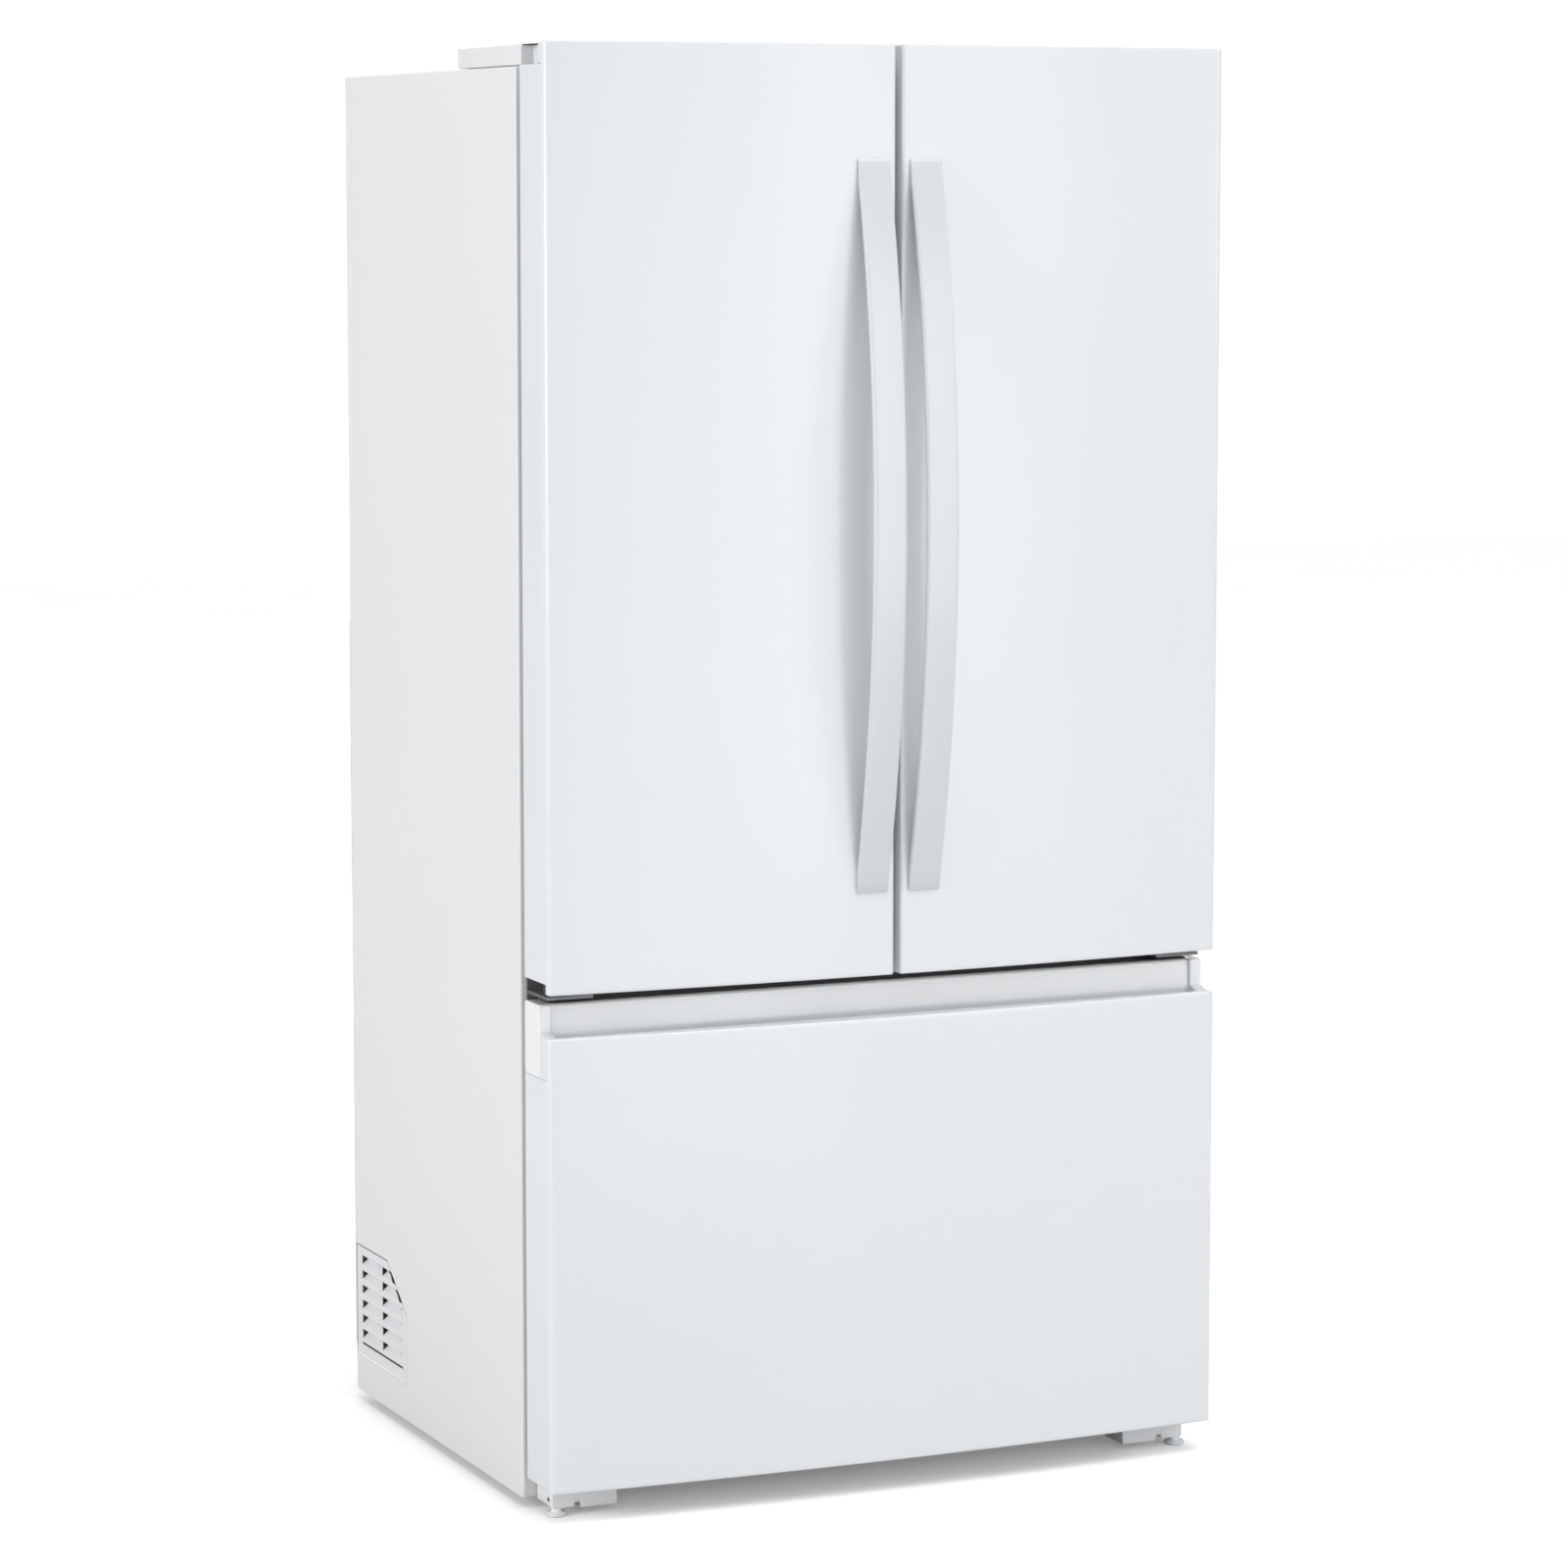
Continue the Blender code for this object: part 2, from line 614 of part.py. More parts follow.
def build_cooling():
    build_compressor()
    serpentine("condenser_coil", (-0.3100, 0.0750), (-0.0550, 0.2750), 9, 0.2650, 0.0040, "black_metal")
    serpentine("evaporator_coil", (-0.3000, 0.3700), (0.3000, 0.5800), 7, 0.2820, 0.0040, "copper")
    x, y, z = CONDENSER_FAN
    plate = box((x - 0.0130, y - 0.0950, 0.0158), (x + 0.0130, y + 0.0950, 0.2750))
    bracket = add_node("fan_bracket", plate, "dark_plastic")
    cut(bracket, cylinder((y, z), FAN_BORE_RADIUS, "x", x - 0.05, x + 0.05, 28))
    join(
        bracket,
        box((x + 0.0060, y - 0.0850, z - 0.0060), (x + 0.0120, y + 0.0850, z + 0.0060)),
        cylinder((y, z), 0.0200, "x", x + 0.0110, x + 0.0400, 20),
    )
    fan("condenser_fan", (x - 0.0060, y, z), "x", 0.0700, 0.0160, 0.0200, 5, "dark_plastic")
    dish = box((-0.3300, 0.1700, 0.0300), (-0.0300, 0.3600, 0.0620), 0.0040)
    pan = add_node("drain_pan", dish, "dark_plastic")
    cut(pan, box((-0.3270, 0.1730, 0.0330), (-0.0330, 0.3570, 0.1000)))
    plate = box((-0.3880, 0.2350, 0.3480), (0.3880, 0.2380, 0.5970))
    cover = add_node("evaporator_cover", plate, "white_plastic")
    fx, fy, fz = EVAPORATOR_FAN
    cut(cover, cylinder((fx, fz), 0.0480, "y", 0.2, 0.3, 28))
    join(cover, box((fx - 0.0550, 0.2360, fz - 0.0040), (fx + 0.0550, 0.2400, fz + 0.0040)))
    fan("evaporator_fan", (fx, fy, fz), "y", 0.0420, 0.0120, 0.0140, 4, "white_plastic")


# Fresh-food fittings


def build_fittings():
    top, thick = FRESH_CEILING - GAP, SHELF_THICKNESS
    panel = box((-0.1600, -0.1100, top - 0.0280), (0.1600, 0.0000, top), 0.0030)
    control = add_node("control_panel", panel, "white_plastic")
    play = 2 * GAP
    for name, x in (("fresh_temp_button", -0.0500), ("freezer_temp_button", 0.0500)):
        low, high = (x - 0.0150, -0.0900, top - 0.0300), (x + 0.0150, -0.0700, top - 0.0220)
        pocket_low = (low[0] - play, low[1] - play, low[2] - 0.01)
        pocket_high = (high[0] + play, high[1] + play, high[2] + 0.0025)
        cut(control, box(pocket_low, pocket_high))
        button = add_node(name, box(low, high), "grey_plastic")
        shift_to(button, (x, -0.0800, top - 0.0260))
    lens = box((-0.1300, 0.0400, top - 0.0120), (0.1300, 0.1200, top), 0.0040)
    add_node("light_lens", lens, "clear_plastic")
    for word, side in SIDES:
        for level, z in zip(("upper", "lower"), SHELF_HEIGHTS[word]):
            low, high = (0.0040, SHELF_FRONT, z), (FRESH_HALF_WIDTH - 0.0030, SHELF_REAR, z + thick)
            add_node(f"{word}_{level}_shelf", mirrored_box(low, high, side), "glass")
    low, high = (-0.4000, SHELF_FRONT, CRISPER_TOP + 0.0080), (0.4000, SHELF_REAR, CRISPER_TOP + 0.0140)
    add_node("crisper_cover", box(low, high), "glass")
    for word, side in SIDES:
        low, high = (0.0060, CRISPER_FRONT, 0.7120), (0.3960, 0.2780, CRISPER_TOP)
        tray(word + "_crisper", low, high, side, TRAY_WALL, "clear_plastic")


def tray(name, low, high, side, wall, finish):
    """An open-topped box with a floor and four walls."""
    obj = add_node(name, mirrored_box(low, high, side), finish)
    inner_low = (low[0] + wall, low[1] + wall, low[2] + wall)
    inner_high = (high[0] - wall, high[1] - wall, high[2] + 0.1)
    cut(obj, mirrored_box(inner_low, inner_high, side))
    return obj


# Doors


def door_span(side):
    """The door's low and high X."""
    return (-HALF_WIDTH, -DOOR_GAP_HALF) if side < 0 else (DOOR_GAP_HALF, HALF_WIDTH)


def build_door_panel(word, side):
    """A steel tray open to the rear. Its front sheet stands above the top and below the bottom."""
    low_x, high_x = door_span(side)
    rounds = (FRONT_CORNER, INNER_CORNER) if side < 0 else (INNER_CORNER, FRONT_CORNER)
    lip = prism(front_outline(low_x, high_x, LIP_REAR, 0.0, *rounds), "z", DOOR_BOTTOM, TOTAL_HEIGHT)
    panel = add_node(word + "_door_panel", lip, "white_enamel")
    body_low, body_high = (low_x, LIP_REAR - 0.01, DOOR_BODY_BOTTOM), (high_x, DOOR_REAR, DOOR_BODY_TOP)
    join(panel, box(body_low, body_high))
    inner = [max(r - DOOR_SKIN, 0.001) for r in rounds]
    hollow = front_outline(low_x, high_x, -0.2, DOOR_SKIN, *inner)
    cut(panel, prism(hollow, "z", DOOR_BODY_BOTTOM + DOOR_SKIN, DOOR_BODY_TOP - DOOR_SKIN))
    cut(panel, cylinder((side * HINGE_X, HINGE_Y), HINGE_HOLE_RADIUS, "z", 0.655, 1.77, 20))
    shift_to(panel, (side * HINGE_X, HINGE_Y, 0.0))


def build_door_liner(word, side):
    """The inner sheet of a door with a raised dike round the storage well."""
    low, high = (0.0065, -0.2480, 0.6640), (0.4518, DOOR_REAR, 1.7550)
    liner = add_node(word + "_door_liner", mirrored_box(low, high, side), "white_plastic")
    join(liner, mirrored_box(DIKE_LOW, DIKE_HIGH, side))
    cut(liner, mirrored_box(WELL_LOW, WELL_HIGH, side))
    wall, front = DIKE_WALL, DIKE_HIGH[1] - DIKE_WALL
    low_z, high_z = DIKE_LOW[2] + wall, DIKE_HIGH[2] - wall
    for low_x, high_x in ((DIKE_LOW[0], WELL_LOW[0]), (WELL_HIGH[0], DIKE_HIGH[0])):
        cut(liner, mirrored_box((low_x + wall, -0.3, low_z), (high_x - wall, front, high_z), side))
    shift_to(liner, (side * HINGE_X, HINGE_Y, 0.0))


def build_gasket(name, low, high):
    """A rectangular frame of magnetic seal; low and high are (x, z) of its outer edge."""
    frame = box((low[0], GASKET_FRONT, low[1]), (high[0], GASKET_REAR, high[1]))
    gasket = add_node(name, frame, "rubber_grey")
    w = GASKET_WIDTH
    cut(gasket, box((low[0] + w, -0.3, low[1] + w), (high[0] - w, -0.2, high[1] - w)))
    return gasket


def build_handle(word, side):
    """A flat strap bowed forward along an arc, its two ends flat on the door."""
    base = front_y(HANDLE_NEAR) - GAP
    middle, half = (HANDLE_LOW + HANDLE_HIGH) / 2, (HANDLE_HIGH - HANDLE_LOW) / 2
    bow = base - HANDLE_END + HALF_DEPTH
    outer, inner = [], []
    for step in range(HANDLE_STEPS + 1):
        z = HANDLE_LOW + 2 * half * step / HANDLE_STEPS
        rise = 1.0 - ((z - middle) / half) ** 2
        front = base - HANDLE_END - bow * rise
        outer.append((front, z))
        back = front + HANDLE_THICKNESS
        if back < base - 0.0005:
            inner.append((back, z))
    reach = (HANDLE_THICKNESS - HANDLE_END) / bow
    foot = half * math.sqrt(1.0 - reach)
    outline = outer + [(base, HANDLE_HIGH), (base, middle + foot)] + inner[::-1]
    outline += [(base, middle - foot), (base, HANDLE_LOW)]
    low_x, high_x = sorted((side * HANDLE_NEAR, side * HANDLE_FAR))
    handle = add_node(word + "_door_handle", prism(outline, "x", low_x, high_x), "white_enamel")
    shift_to(handle, (side * HINGE_X, HINGE_Y, 0.0))


def build_door(word, side):
    build_door_panel(word, side)
    build_door_liner(word, side)
    low, high = (0.0120, 0.6720), (0.4300, 1.7450)
    low_x, high_x = sorted((side * low[0], side * high[0]))
    gasket = build_gasket(word + "_door_gasket", (low_x, low[1]), (high_x, high[1]))
    shift_to(gasket, (side * HINGE_X, HINGE_Y, 0.0))
    build_handle(word, side)
    for level, bottom, top in BIN_HEIGHTS:
        low, high = (BIN_SPAN[0], -0.2440, bottom), (BIN_SPAN[1], BIN_REAR, top)
        bin_tray = tray(f"{word}_door_{level}_bin", low, high, side, TRAY_WALL, "clear_plastic")
        shift_to(bin_tray, (side * HINGE_X, HINGE_Y, 0.0))


def build_flipper_mullion():
    """The hinged bar on the left door that backs the seals where the doors meet."""
    bar = box((-0.0470, -0.2295, 0.7060), (-0.0060, -0.2085, 1.6950), 0.0030)
    mullion = add_node("flipper_mullion", bar, "grey_plastic")
    shift_to(mullion, MULLION_PIVOT)


# Freezer drawer


def build_freezer_front():
    """The drawer front: a contoured steel tray with a finger groove behind its upper edge."""
    span = (-HALF_WIDTH, HALF_WIDTH)
    panel = prism(front_outline(*span, DOOR_REAR), "z", DRAWER_BOTTOM, DRAWER_PANEL_TOP)
    front = add_node("freezer_front", panel, "white_enamel")
    join(front, box((-HALF_WIDTH, PULL_WALL_FRONT, 0.5800), (HALF_WIDTH, DOOR_REAR, DRAWER_TOP)))
    pull = front_outline(-PULL_HALF_WIDTH, PULL_HALF_WIDTH, PULL_WALL_FRONT, 0.0, 0.001, 0.001)
    pull = [(x, y if y == PULL_WALL_FRONT else front_y(x) + PULL_LIP) for x, y in pull]
    cut(front, prism(pull, "z", PULL_BOTTOM, 0.7))
    hollow = front_outline(*span, -0.2, DOOR_SKIN, 0.005, 0.005)
    inside = HALF_WIDTH - DOOR_SKIN
    low, high = (-inside, PULL_WALL_FRONT + 0.0020, 0.3), (inside, -0.2, DRAWER_TOP - DOOR_SKIN)
    cut(front, prism(hollow, "z", DRAWER_BOTTOM + DOOR_SKIN, PULL_BOTTOM - 0.0060), box(low, high))


def build_freezer_drawer():
    build_freezer_front()
    plate = box((-0.4518, -0.2480, 0.0410), (0.4518, DOOR_REAR, 0.6320))
    liner = add_node("freezer_front_liner", plate, "white_plastic")
    join(liner, box((-0.3860, -0.2470, 0.1200), (0.3860, -0.2180, 0.5920)))
    cut(liner, box((-0.3830, -0.3, 0.1230), (0.3830, -0.2210, 0.5890)))
    build_gasket("freezer_gasket", (-0.4300, 0.0520), (0.4300, 0.6280))
    low, high = (-0.3500, -0.2120, 0.1400), (0.3500, 0.0950, 0.3200)
    tray("freezer_basket", low, high, 1, TRAY_WALL, "white_plastic")
    low, high = (-0.3780, -0.2050, 0.4000), (0.3780, 0.2250, 0.5200)
    tray("freezer_tray", low, high, 1, TRAY_WALL, "clear_plastic")
    for word, side in SIDES:
        slide = mirrored_box((0.3640, -0.2120, 0.2300), (0.3760, 0.1000, 0.2700), side)
        add_node(word + "_freezer_slide", slide, "steel")


def main():
    clear_scene()
    build_cabinet_shell()
    build_back_panel()
    build_foam()
    build_liners()
    build_front_rails()
    build_cooling()
    build_fittings()
    for word, side in SIDES:
        build_side_vent(word + "_side_vent", side)
        build_top_hinge(word, side)
        build_hinge_cover(word, side)
        build_center_hinge(word, side)
        build_foot(word, side)
        build_roller(word, side)
        build_door(word, side)
    build_flipper_mullion()
    build_freezer_drawer()


main()
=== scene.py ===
import math

import bpy
import numpy as np
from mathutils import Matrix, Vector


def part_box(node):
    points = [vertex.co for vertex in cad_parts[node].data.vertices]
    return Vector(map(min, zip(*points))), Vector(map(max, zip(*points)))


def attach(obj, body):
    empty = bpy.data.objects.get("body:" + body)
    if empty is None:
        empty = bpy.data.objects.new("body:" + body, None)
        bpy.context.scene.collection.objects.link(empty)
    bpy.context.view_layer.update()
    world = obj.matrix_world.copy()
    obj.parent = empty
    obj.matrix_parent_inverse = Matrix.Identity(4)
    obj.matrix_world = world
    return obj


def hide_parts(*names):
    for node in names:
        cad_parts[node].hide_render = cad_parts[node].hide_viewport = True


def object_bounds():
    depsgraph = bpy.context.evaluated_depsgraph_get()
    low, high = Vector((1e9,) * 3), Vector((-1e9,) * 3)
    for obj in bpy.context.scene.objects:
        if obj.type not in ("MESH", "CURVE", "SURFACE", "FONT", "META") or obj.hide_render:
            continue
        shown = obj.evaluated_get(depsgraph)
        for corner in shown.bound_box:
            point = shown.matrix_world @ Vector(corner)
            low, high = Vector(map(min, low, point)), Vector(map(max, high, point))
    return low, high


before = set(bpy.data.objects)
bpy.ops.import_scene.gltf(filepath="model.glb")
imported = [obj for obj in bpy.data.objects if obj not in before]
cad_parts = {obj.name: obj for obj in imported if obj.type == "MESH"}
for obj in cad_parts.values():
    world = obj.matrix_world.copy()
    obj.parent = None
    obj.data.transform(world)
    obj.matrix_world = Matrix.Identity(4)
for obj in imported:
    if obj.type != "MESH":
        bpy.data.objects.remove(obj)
cadBounds = [list(corner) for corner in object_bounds()]
scene = bpy.context.scene
sides = (("left", -1), ("right", 1))
print("frame loaded:", len(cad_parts), "nodes")


# Shapes

def span(node):
    # lowest and highest corner of a CAD node
    low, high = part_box(node)
    return np.array(low), np.array(high)


def signedVolume(verts, faces):
    # sum of p0 . (p1 x p2) / 6 over a fan of triangles in each face
    total = 0.0
    for size in {len(face) for face in faces}:
        block = verts[np.array([face for face in faces if len(face) == size])]
        first, near, far = block[:, :1], block[:, 1:-1], block[:, 2:]
        total += (first * np.cross(near, far)).sum() / 6.0
    return total


def outwards(verts, faces):
    if signedVolume(verts, faces) < 0:
        faces = [face[::-1] for face in faces]
    return verts, faces


def sheetPart(points, flip=False):
    # an open surface of points[row, place], quads between neighbours
    rows, places = points.shape[:2]
    r, p = np.meshgrid(np.arange(rows - 1), np.arange(places - 1), indexing="ij")
    start = r * places + p
    quads = np.stack([start, start + 1, start + places + 1, start + places], -1).reshape(-1, 4)
    return points.reshape(-1, 3), (quads[:, ::-1] if flip else quads).tolist()


def stackPart(rings, ringed=False):
    # closed loops rings[row, place] joined row to row; both ends filled, or the last joined to the first
    rows, places = rings.shape[:2]
    r, p = np.meshgrid(np.arange(rows if ringed else rows - 1), np.arange(places), indexing="ij")
    after, beside = (r + 1) % rows, (p + 1) % places
    quads = np.stack([r * places + p, r * places + beside, after * places + beside, after * places + p], -1)
    faces = quads.reshape(-1, 4).tolist()
    if not ringed:
        faces.append(list(range(places))[::-1])
        faces.append(list(range((rows - 1) * places, rows * places)))
    return outwards(rings.reshape(-1, 3), faces)


def placed(flat, place, axis):
    # loops of two flat coordinates, set at a place along the third axis
    depth = np.broadcast_to(np.asarray(place, float), flat.shape[:-1])
    columns = [flat[..., 0], flat[..., 1]]
    columns.insert("xyz".index(axis), depth)
    return np.stack(columns, -1)


def roundLoops(rows, axis="z", centre=(0.0, 0.0), steps=5):
    # rounded rectangles: sign * (half - radius) + radius * (cos t, sin t) at each corner, with one point on
    # the straight each side of it. A row is half width, half height, corner radius, place along the axis
    rows = np.atleast_2d(np.array(rows, float))
    halfA, halfB, radius, place = (rows[:, i:i + 1] for i in range(4))
    smallest = np.minimum(halfA, halfB)
    radius = np.minimum(radius, 0.98 * smallest)
    lead = np.tile(np.concatenate([[-1.0], np.zeros(steps + 1), [1.0]]), 4)
    turn = np.concatenate([[0.0], np.linspace(0, np.pi / 2, steps + 1), [np.pi / 2]])
    angle = (turn + np.arange(4)[:, None] * np.pi / 2).ravel()
    signA = np.repeat([1, -1, -1, 1], steps + 3)
    signB = np.repeat([1, 1, -1, -1], steps + 3)
    along = np.minimum(1.5 * radius + 0.001, 0.9 * (smallest - radius)) * lead
    a = centre[0] + signA * (halfA - radius) + radius * np.cos(angle) - along * np.sin(angle)
    b = centre[1] + signB * (halfB - radius) + radius * np.sin(angle) + along * np.cos(angle)
    return placed(np.stack([a, b], -1), place, axis)


def rim(low, high, edge, holdIn=0.0015, holdUp=0.004, steps=4):
    # (inset, place) for a slab with round edges: inset = edge (1 - sin t), place = end + edge (1 - cos t),
    # and one more loop inside each flat, which keeps the flat's shading flat
    t = np.linspace(0, np.pi / 2, steps + 1)
    holdUp = min(holdUp, 0.45 * (high - low) - edge)
    inset = np.concatenate([[edge + holdIn], edge * (1 - np.sin(t)), [0.0]])
    rise = np.concatenate([[0.0], edge * (1 - np.cos(t)), [edge + holdUp]])
    return np.concatenate([inset, inset[::-1]]), np.concatenate([low + rise, (high - rise)[::-1]])


def slab(low, high, corner, edge, axis="z", **holds):
    # a box with round corners seen along the axis and round edges at both ends
    low, high = np.array(low, float), np.array(high, float)
    index = "xyz".index(axis)
    flat = [i for i in range(3) if i != index]
    half, centre = (high - low)[flat] / 2, (high + low)[flat] / 2
    inset, place = rim(low[index], high[index], edge, **holds)
    rows = np.stack([half[0] - inset, half[1] - inset, np.maximum(corner - inset, 0.0002), place], 1)
    return stackPart(roundLoops(rows, axis, centre))


def outlineLoops(outline, inset, place, axis="z"):
    # each corner moves by inset (n1 + n2) / (1 + n1 . n2), n1 and n2 the inward normals of its two edges
    outline = np.array(outline, float)
    edge = np.roll(outline, -1, 0) - outline
    normal = np.stack([-edge[:, 1], edge[:, 0]], 1) / np.linalg.norm(edge, axis=1)[:, None]
    before = np.roll(normal, 1, 0)
    share = (normal + before) / (1 + (normal * before).sum(1))[:, None]
    flat = outline + np.asarray(inset)[:, None, None] * share
    return placed(flat, np.asarray(place)[:, None], axis)


def prismPart(outline, low, high, edge, axis="z", **holds):
    # an anticlockwise outline drawn along the axis, with round edges at both ends
    return stackPart(outlineLoops(outline, *rim(low, high, edge, **holds), axis))


def roundCorners(points, radii, steps=5):
    # each corner becomes an arc that meets both of its edges: the edges are cut at radius * tan(turn / 2)
    points = np.array(points, float)
    radii = np.broadcast_to(np.asarray(radii, float), len(points))
    back = np.roll(points, 1, 0) - points
    ahead = np.roll(points, -1, 0) - points
    back /= np.linalg.norm(back, axis=1)[:, None]
    ahead /= np.linalg.norm(ahead, axis=1)[:, None]
    half = np.arccos(np.clip((back * ahead).sum(1), -1, 1)) / 2
    middle = back + ahead
    middle /= np.linalg.norm(middle, axis=1)[:, None]
    centre = points + middle * (radii / np.sin(half))[:, None]
    start = points + back * (radii / np.tan(half))[:, None] - centre
    swing = (np.pi - 2 * half) * np.sign(back[:, 0] * ahead[:, 1] - back[:, 1] * ahead[:, 0]) * -1
    t = swing[:, None] * np.linspace(0, 1, steps + 1)
    x = centre[:, :1] + start[:, :1] * np.cos(t) - start[:, 1:] * np.sin(t)
    y = centre[:, 1:] + start[:, :1] * np.sin(t) + start[:, 1:] * np.cos(t)
    return np.stack([x, y], -1).reshape(-1, 2)


def turnedPart(profile, centre, axis="z", sides=32):
    # (radius, place) points turned about a line along the axis; radius 0 is not used, the ends are filled
    profile = np.array(profile, float)
    angle = np.arange(sides) * 2 * np.pi / sides
    ring = np.stack([np.cos(angle), np.sin(angle)], -1)
    return stackPart(placed(centre + profile[:, :1, None] * ring, profile[:, 1:], axis))


def mirrored(part, side):
    # parts are drawn for the right; the left is the mirror image in x, its faces turned back out
    if side > 0:
        return part
    return part[0] * np.array([-1.0, 1.0, 1.0]), [face[::-1] for face in part[1]]


# Finishes

def newGroup(name, inputs, outputs):
    group = bpy.data.node_groups.new(name, "ShaderNodeTree")
    for label, kind, value in inputs:
        socket = group.interface.new_socket(label, in_out="INPUT", socket_type="NodeSocket" + kind)
        socket.default_value = value
    for label, kind in outputs:
        group.interface.new_socket(label, in_out="OUTPUT", socket_type="NodeSocket" + kind)
    source = group.nodes.new("NodeGroupInput")
    result = group.nodes.new("NodeGroupOutput")
    return group, source.outputs, result.inputs


def node(tree, kind, links=(), **settings):
    # a node with its settings, its inputs linked from (input name, output socket) or set to a value
    made = tree.nodes.new("ShaderNode" + kind)
    for key, value in settings.items():
        setattr(made, key, value)
    for label, value in links:
        if isinstance(value, bpy.types.NodeSocket):
            tree.links.new(value, made.inputs[label])
        else:
            made.inputs[label].default_value = value
    return made


def noise(tree, scale, detail=2.0, stretch=None):
    # fractal noise on Object coordinates, stretched along one axis where asked
    place = node(tree, "TexCoord").outputs["Object"]
    if stretch:
        place = node(tree, "Mapping", [("Vector", place), ("Scale", stretch)]).outputs["Vector"]
    return node(tree, "TexNoise", [("Vector", place), ("Scale", scale), ("Detail", detail)]).outputs["Fac"]


def spread(tree, value, low, high, start=0.3, end=0.7):
    # a value from start..end carried to low..high
    return node(tree, "MapRange", [
        ("Value", value), ("From Min", start), ("From Max", end), ("To Min", low), ("To Max", high),
    ]).outputs["Result"]


def blended(tree, share, first, second):
    made = node(tree, "Mix", data_type="RGBA")
    tree.links.new(share, made.inputs[0])
    tree.links.new(first, made.inputs[6])
    tree.links.new(second, made.inputs[7])
    return made.outputs[2]


def surfaceInputs(colour, shade, rough):
    return [("Colour", "Color", colour), ("Shade", "Color", shade), ("Roughness", "Float", rough)]


def surfaceOutputs():
    return [("Colour", "Color"), ("Roughness", "Float"), ("Height", "Float")]


def makeCoating():
    # baked enamel: cloudy tone over hand widths, and the fine orange peel of sprayed powder
    group, given, result = newGroup("enamel_coating", [
        *surfaceInputs((0.8, 0.8, 0.8, 1), (0.7, 0.7, 0.7, 1), 0.3),
        ("Peel scale", "Float", 420.0), ("Rough spread", "Float", 0.05)], surfaceOutputs())
    clouds = spread(group, noise(group, 3.0, 3.0), 0.0, 1.0)
    group.links.new(blended(group, clouds, given["Colour"], given["Shade"]), result["Colour"])
    smears = node(group, "Math", [(0, noise(group, 11.0, 4.0, (1.0, 1.0, 0.4))), (1, 0.5)],
                  operation="SUBTRACT")
    change = node(group, "Math", [(0, smears.outputs[0]), (1, given["Rough spread"])], operation="MULTIPLY")
    total = node(group, "Math", [(0, change.outputs[0]), (1, given["Roughness"])], operation="ADD")
    group.links.new(total.outputs[0], result["Roughness"])
    place = node(group, "TexCoord").outputs["Object"]
    peel = node(group, "TexNoise", [("Vector", place), ("Scale", given["Peel scale"]), ("Detail", 1.0)])
    group.links.new(peel.outputs["Fac"], result["Height"])
    return group


def makeGrain():
    # moulded plastic: eroded grain of small cells, flow marks in the tone
    group, given, result = newGroup("moulded_grain", [
        *surfaceInputs((0.8, 0.8, 0.8, 1), (0.7, 0.7, 0.7, 1), 0.45),
        ("Grain scale", "Float", 900.0), ("Rough spread", "Float", 0.1)], surfaceOutputs())
    flow = spread(group, noise(group, 5.0, 2.0, (1.0, 1.0, 2.5)), 0.0, 1.0)
    group.links.new(blended(group, flow, given["Colour"], given["Shade"]), result["Colour"])
    place = node(group, "TexCoord").outputs["Object"]
    cells = node(group, "TexVoronoi", [("Vector", place), ("Scale", given["Grain scale"])],
                 feature="SMOOTH_F1")
    group.links.new(cells.outputs["Distance"], result["Height"])
    change = node(group, "Math", [(0, cells.outputs["Distance"]), (1, given["Rough spread"])],
                  operation="MULTIPLY")
    total = node(group, "Math", [(0, change.outputs[0]), (1, given["Roughness"])], operation="ADD")
    group.links.new(total.outputs[0], result["Roughness"])
    return group


def makeBrushed():
    # rolled or plated sheet: long fine lines, and spangle patches in the tone
    group, given, result = newGroup("rolled_sheet", [
        *surfaceInputs((0.6, 0.6, 0.6, 1), (0.5, 0.5, 0.5, 1), 0.35),
        ("Spangle scale", "Float", 60.0), ("Rough spread", "Float", 0.25)], surfaceOutputs())
    place = node(group, "TexCoord").outputs["Object"]
    patches = node(group, "TexVoronoi", [("Vector", place), ("Scale", given["Spangle scale"])])
    tone = node(group, "SeparateColor", [("Color", patches.outputs["Color"])]).outputs["Red"]
    group.links.new(blended(group, tone, given["Colour"], given["Shade"]), result["Colour"])
    lines = noise(group, 40.0, 4.0, (1.0, 1.0, 25.0))
    change = node(group, "Math", [(0, lines), (1, given["Rough spread"])], operation="MULTIPLY")
    total = node(group, "Math", [(0, change.outputs[0]), (1, given["Roughness"])], operation="ADD")
    group.links.new(total.outputs[0], result["Roughness"])
    group.links.new(lines, result["Height"])
    return group


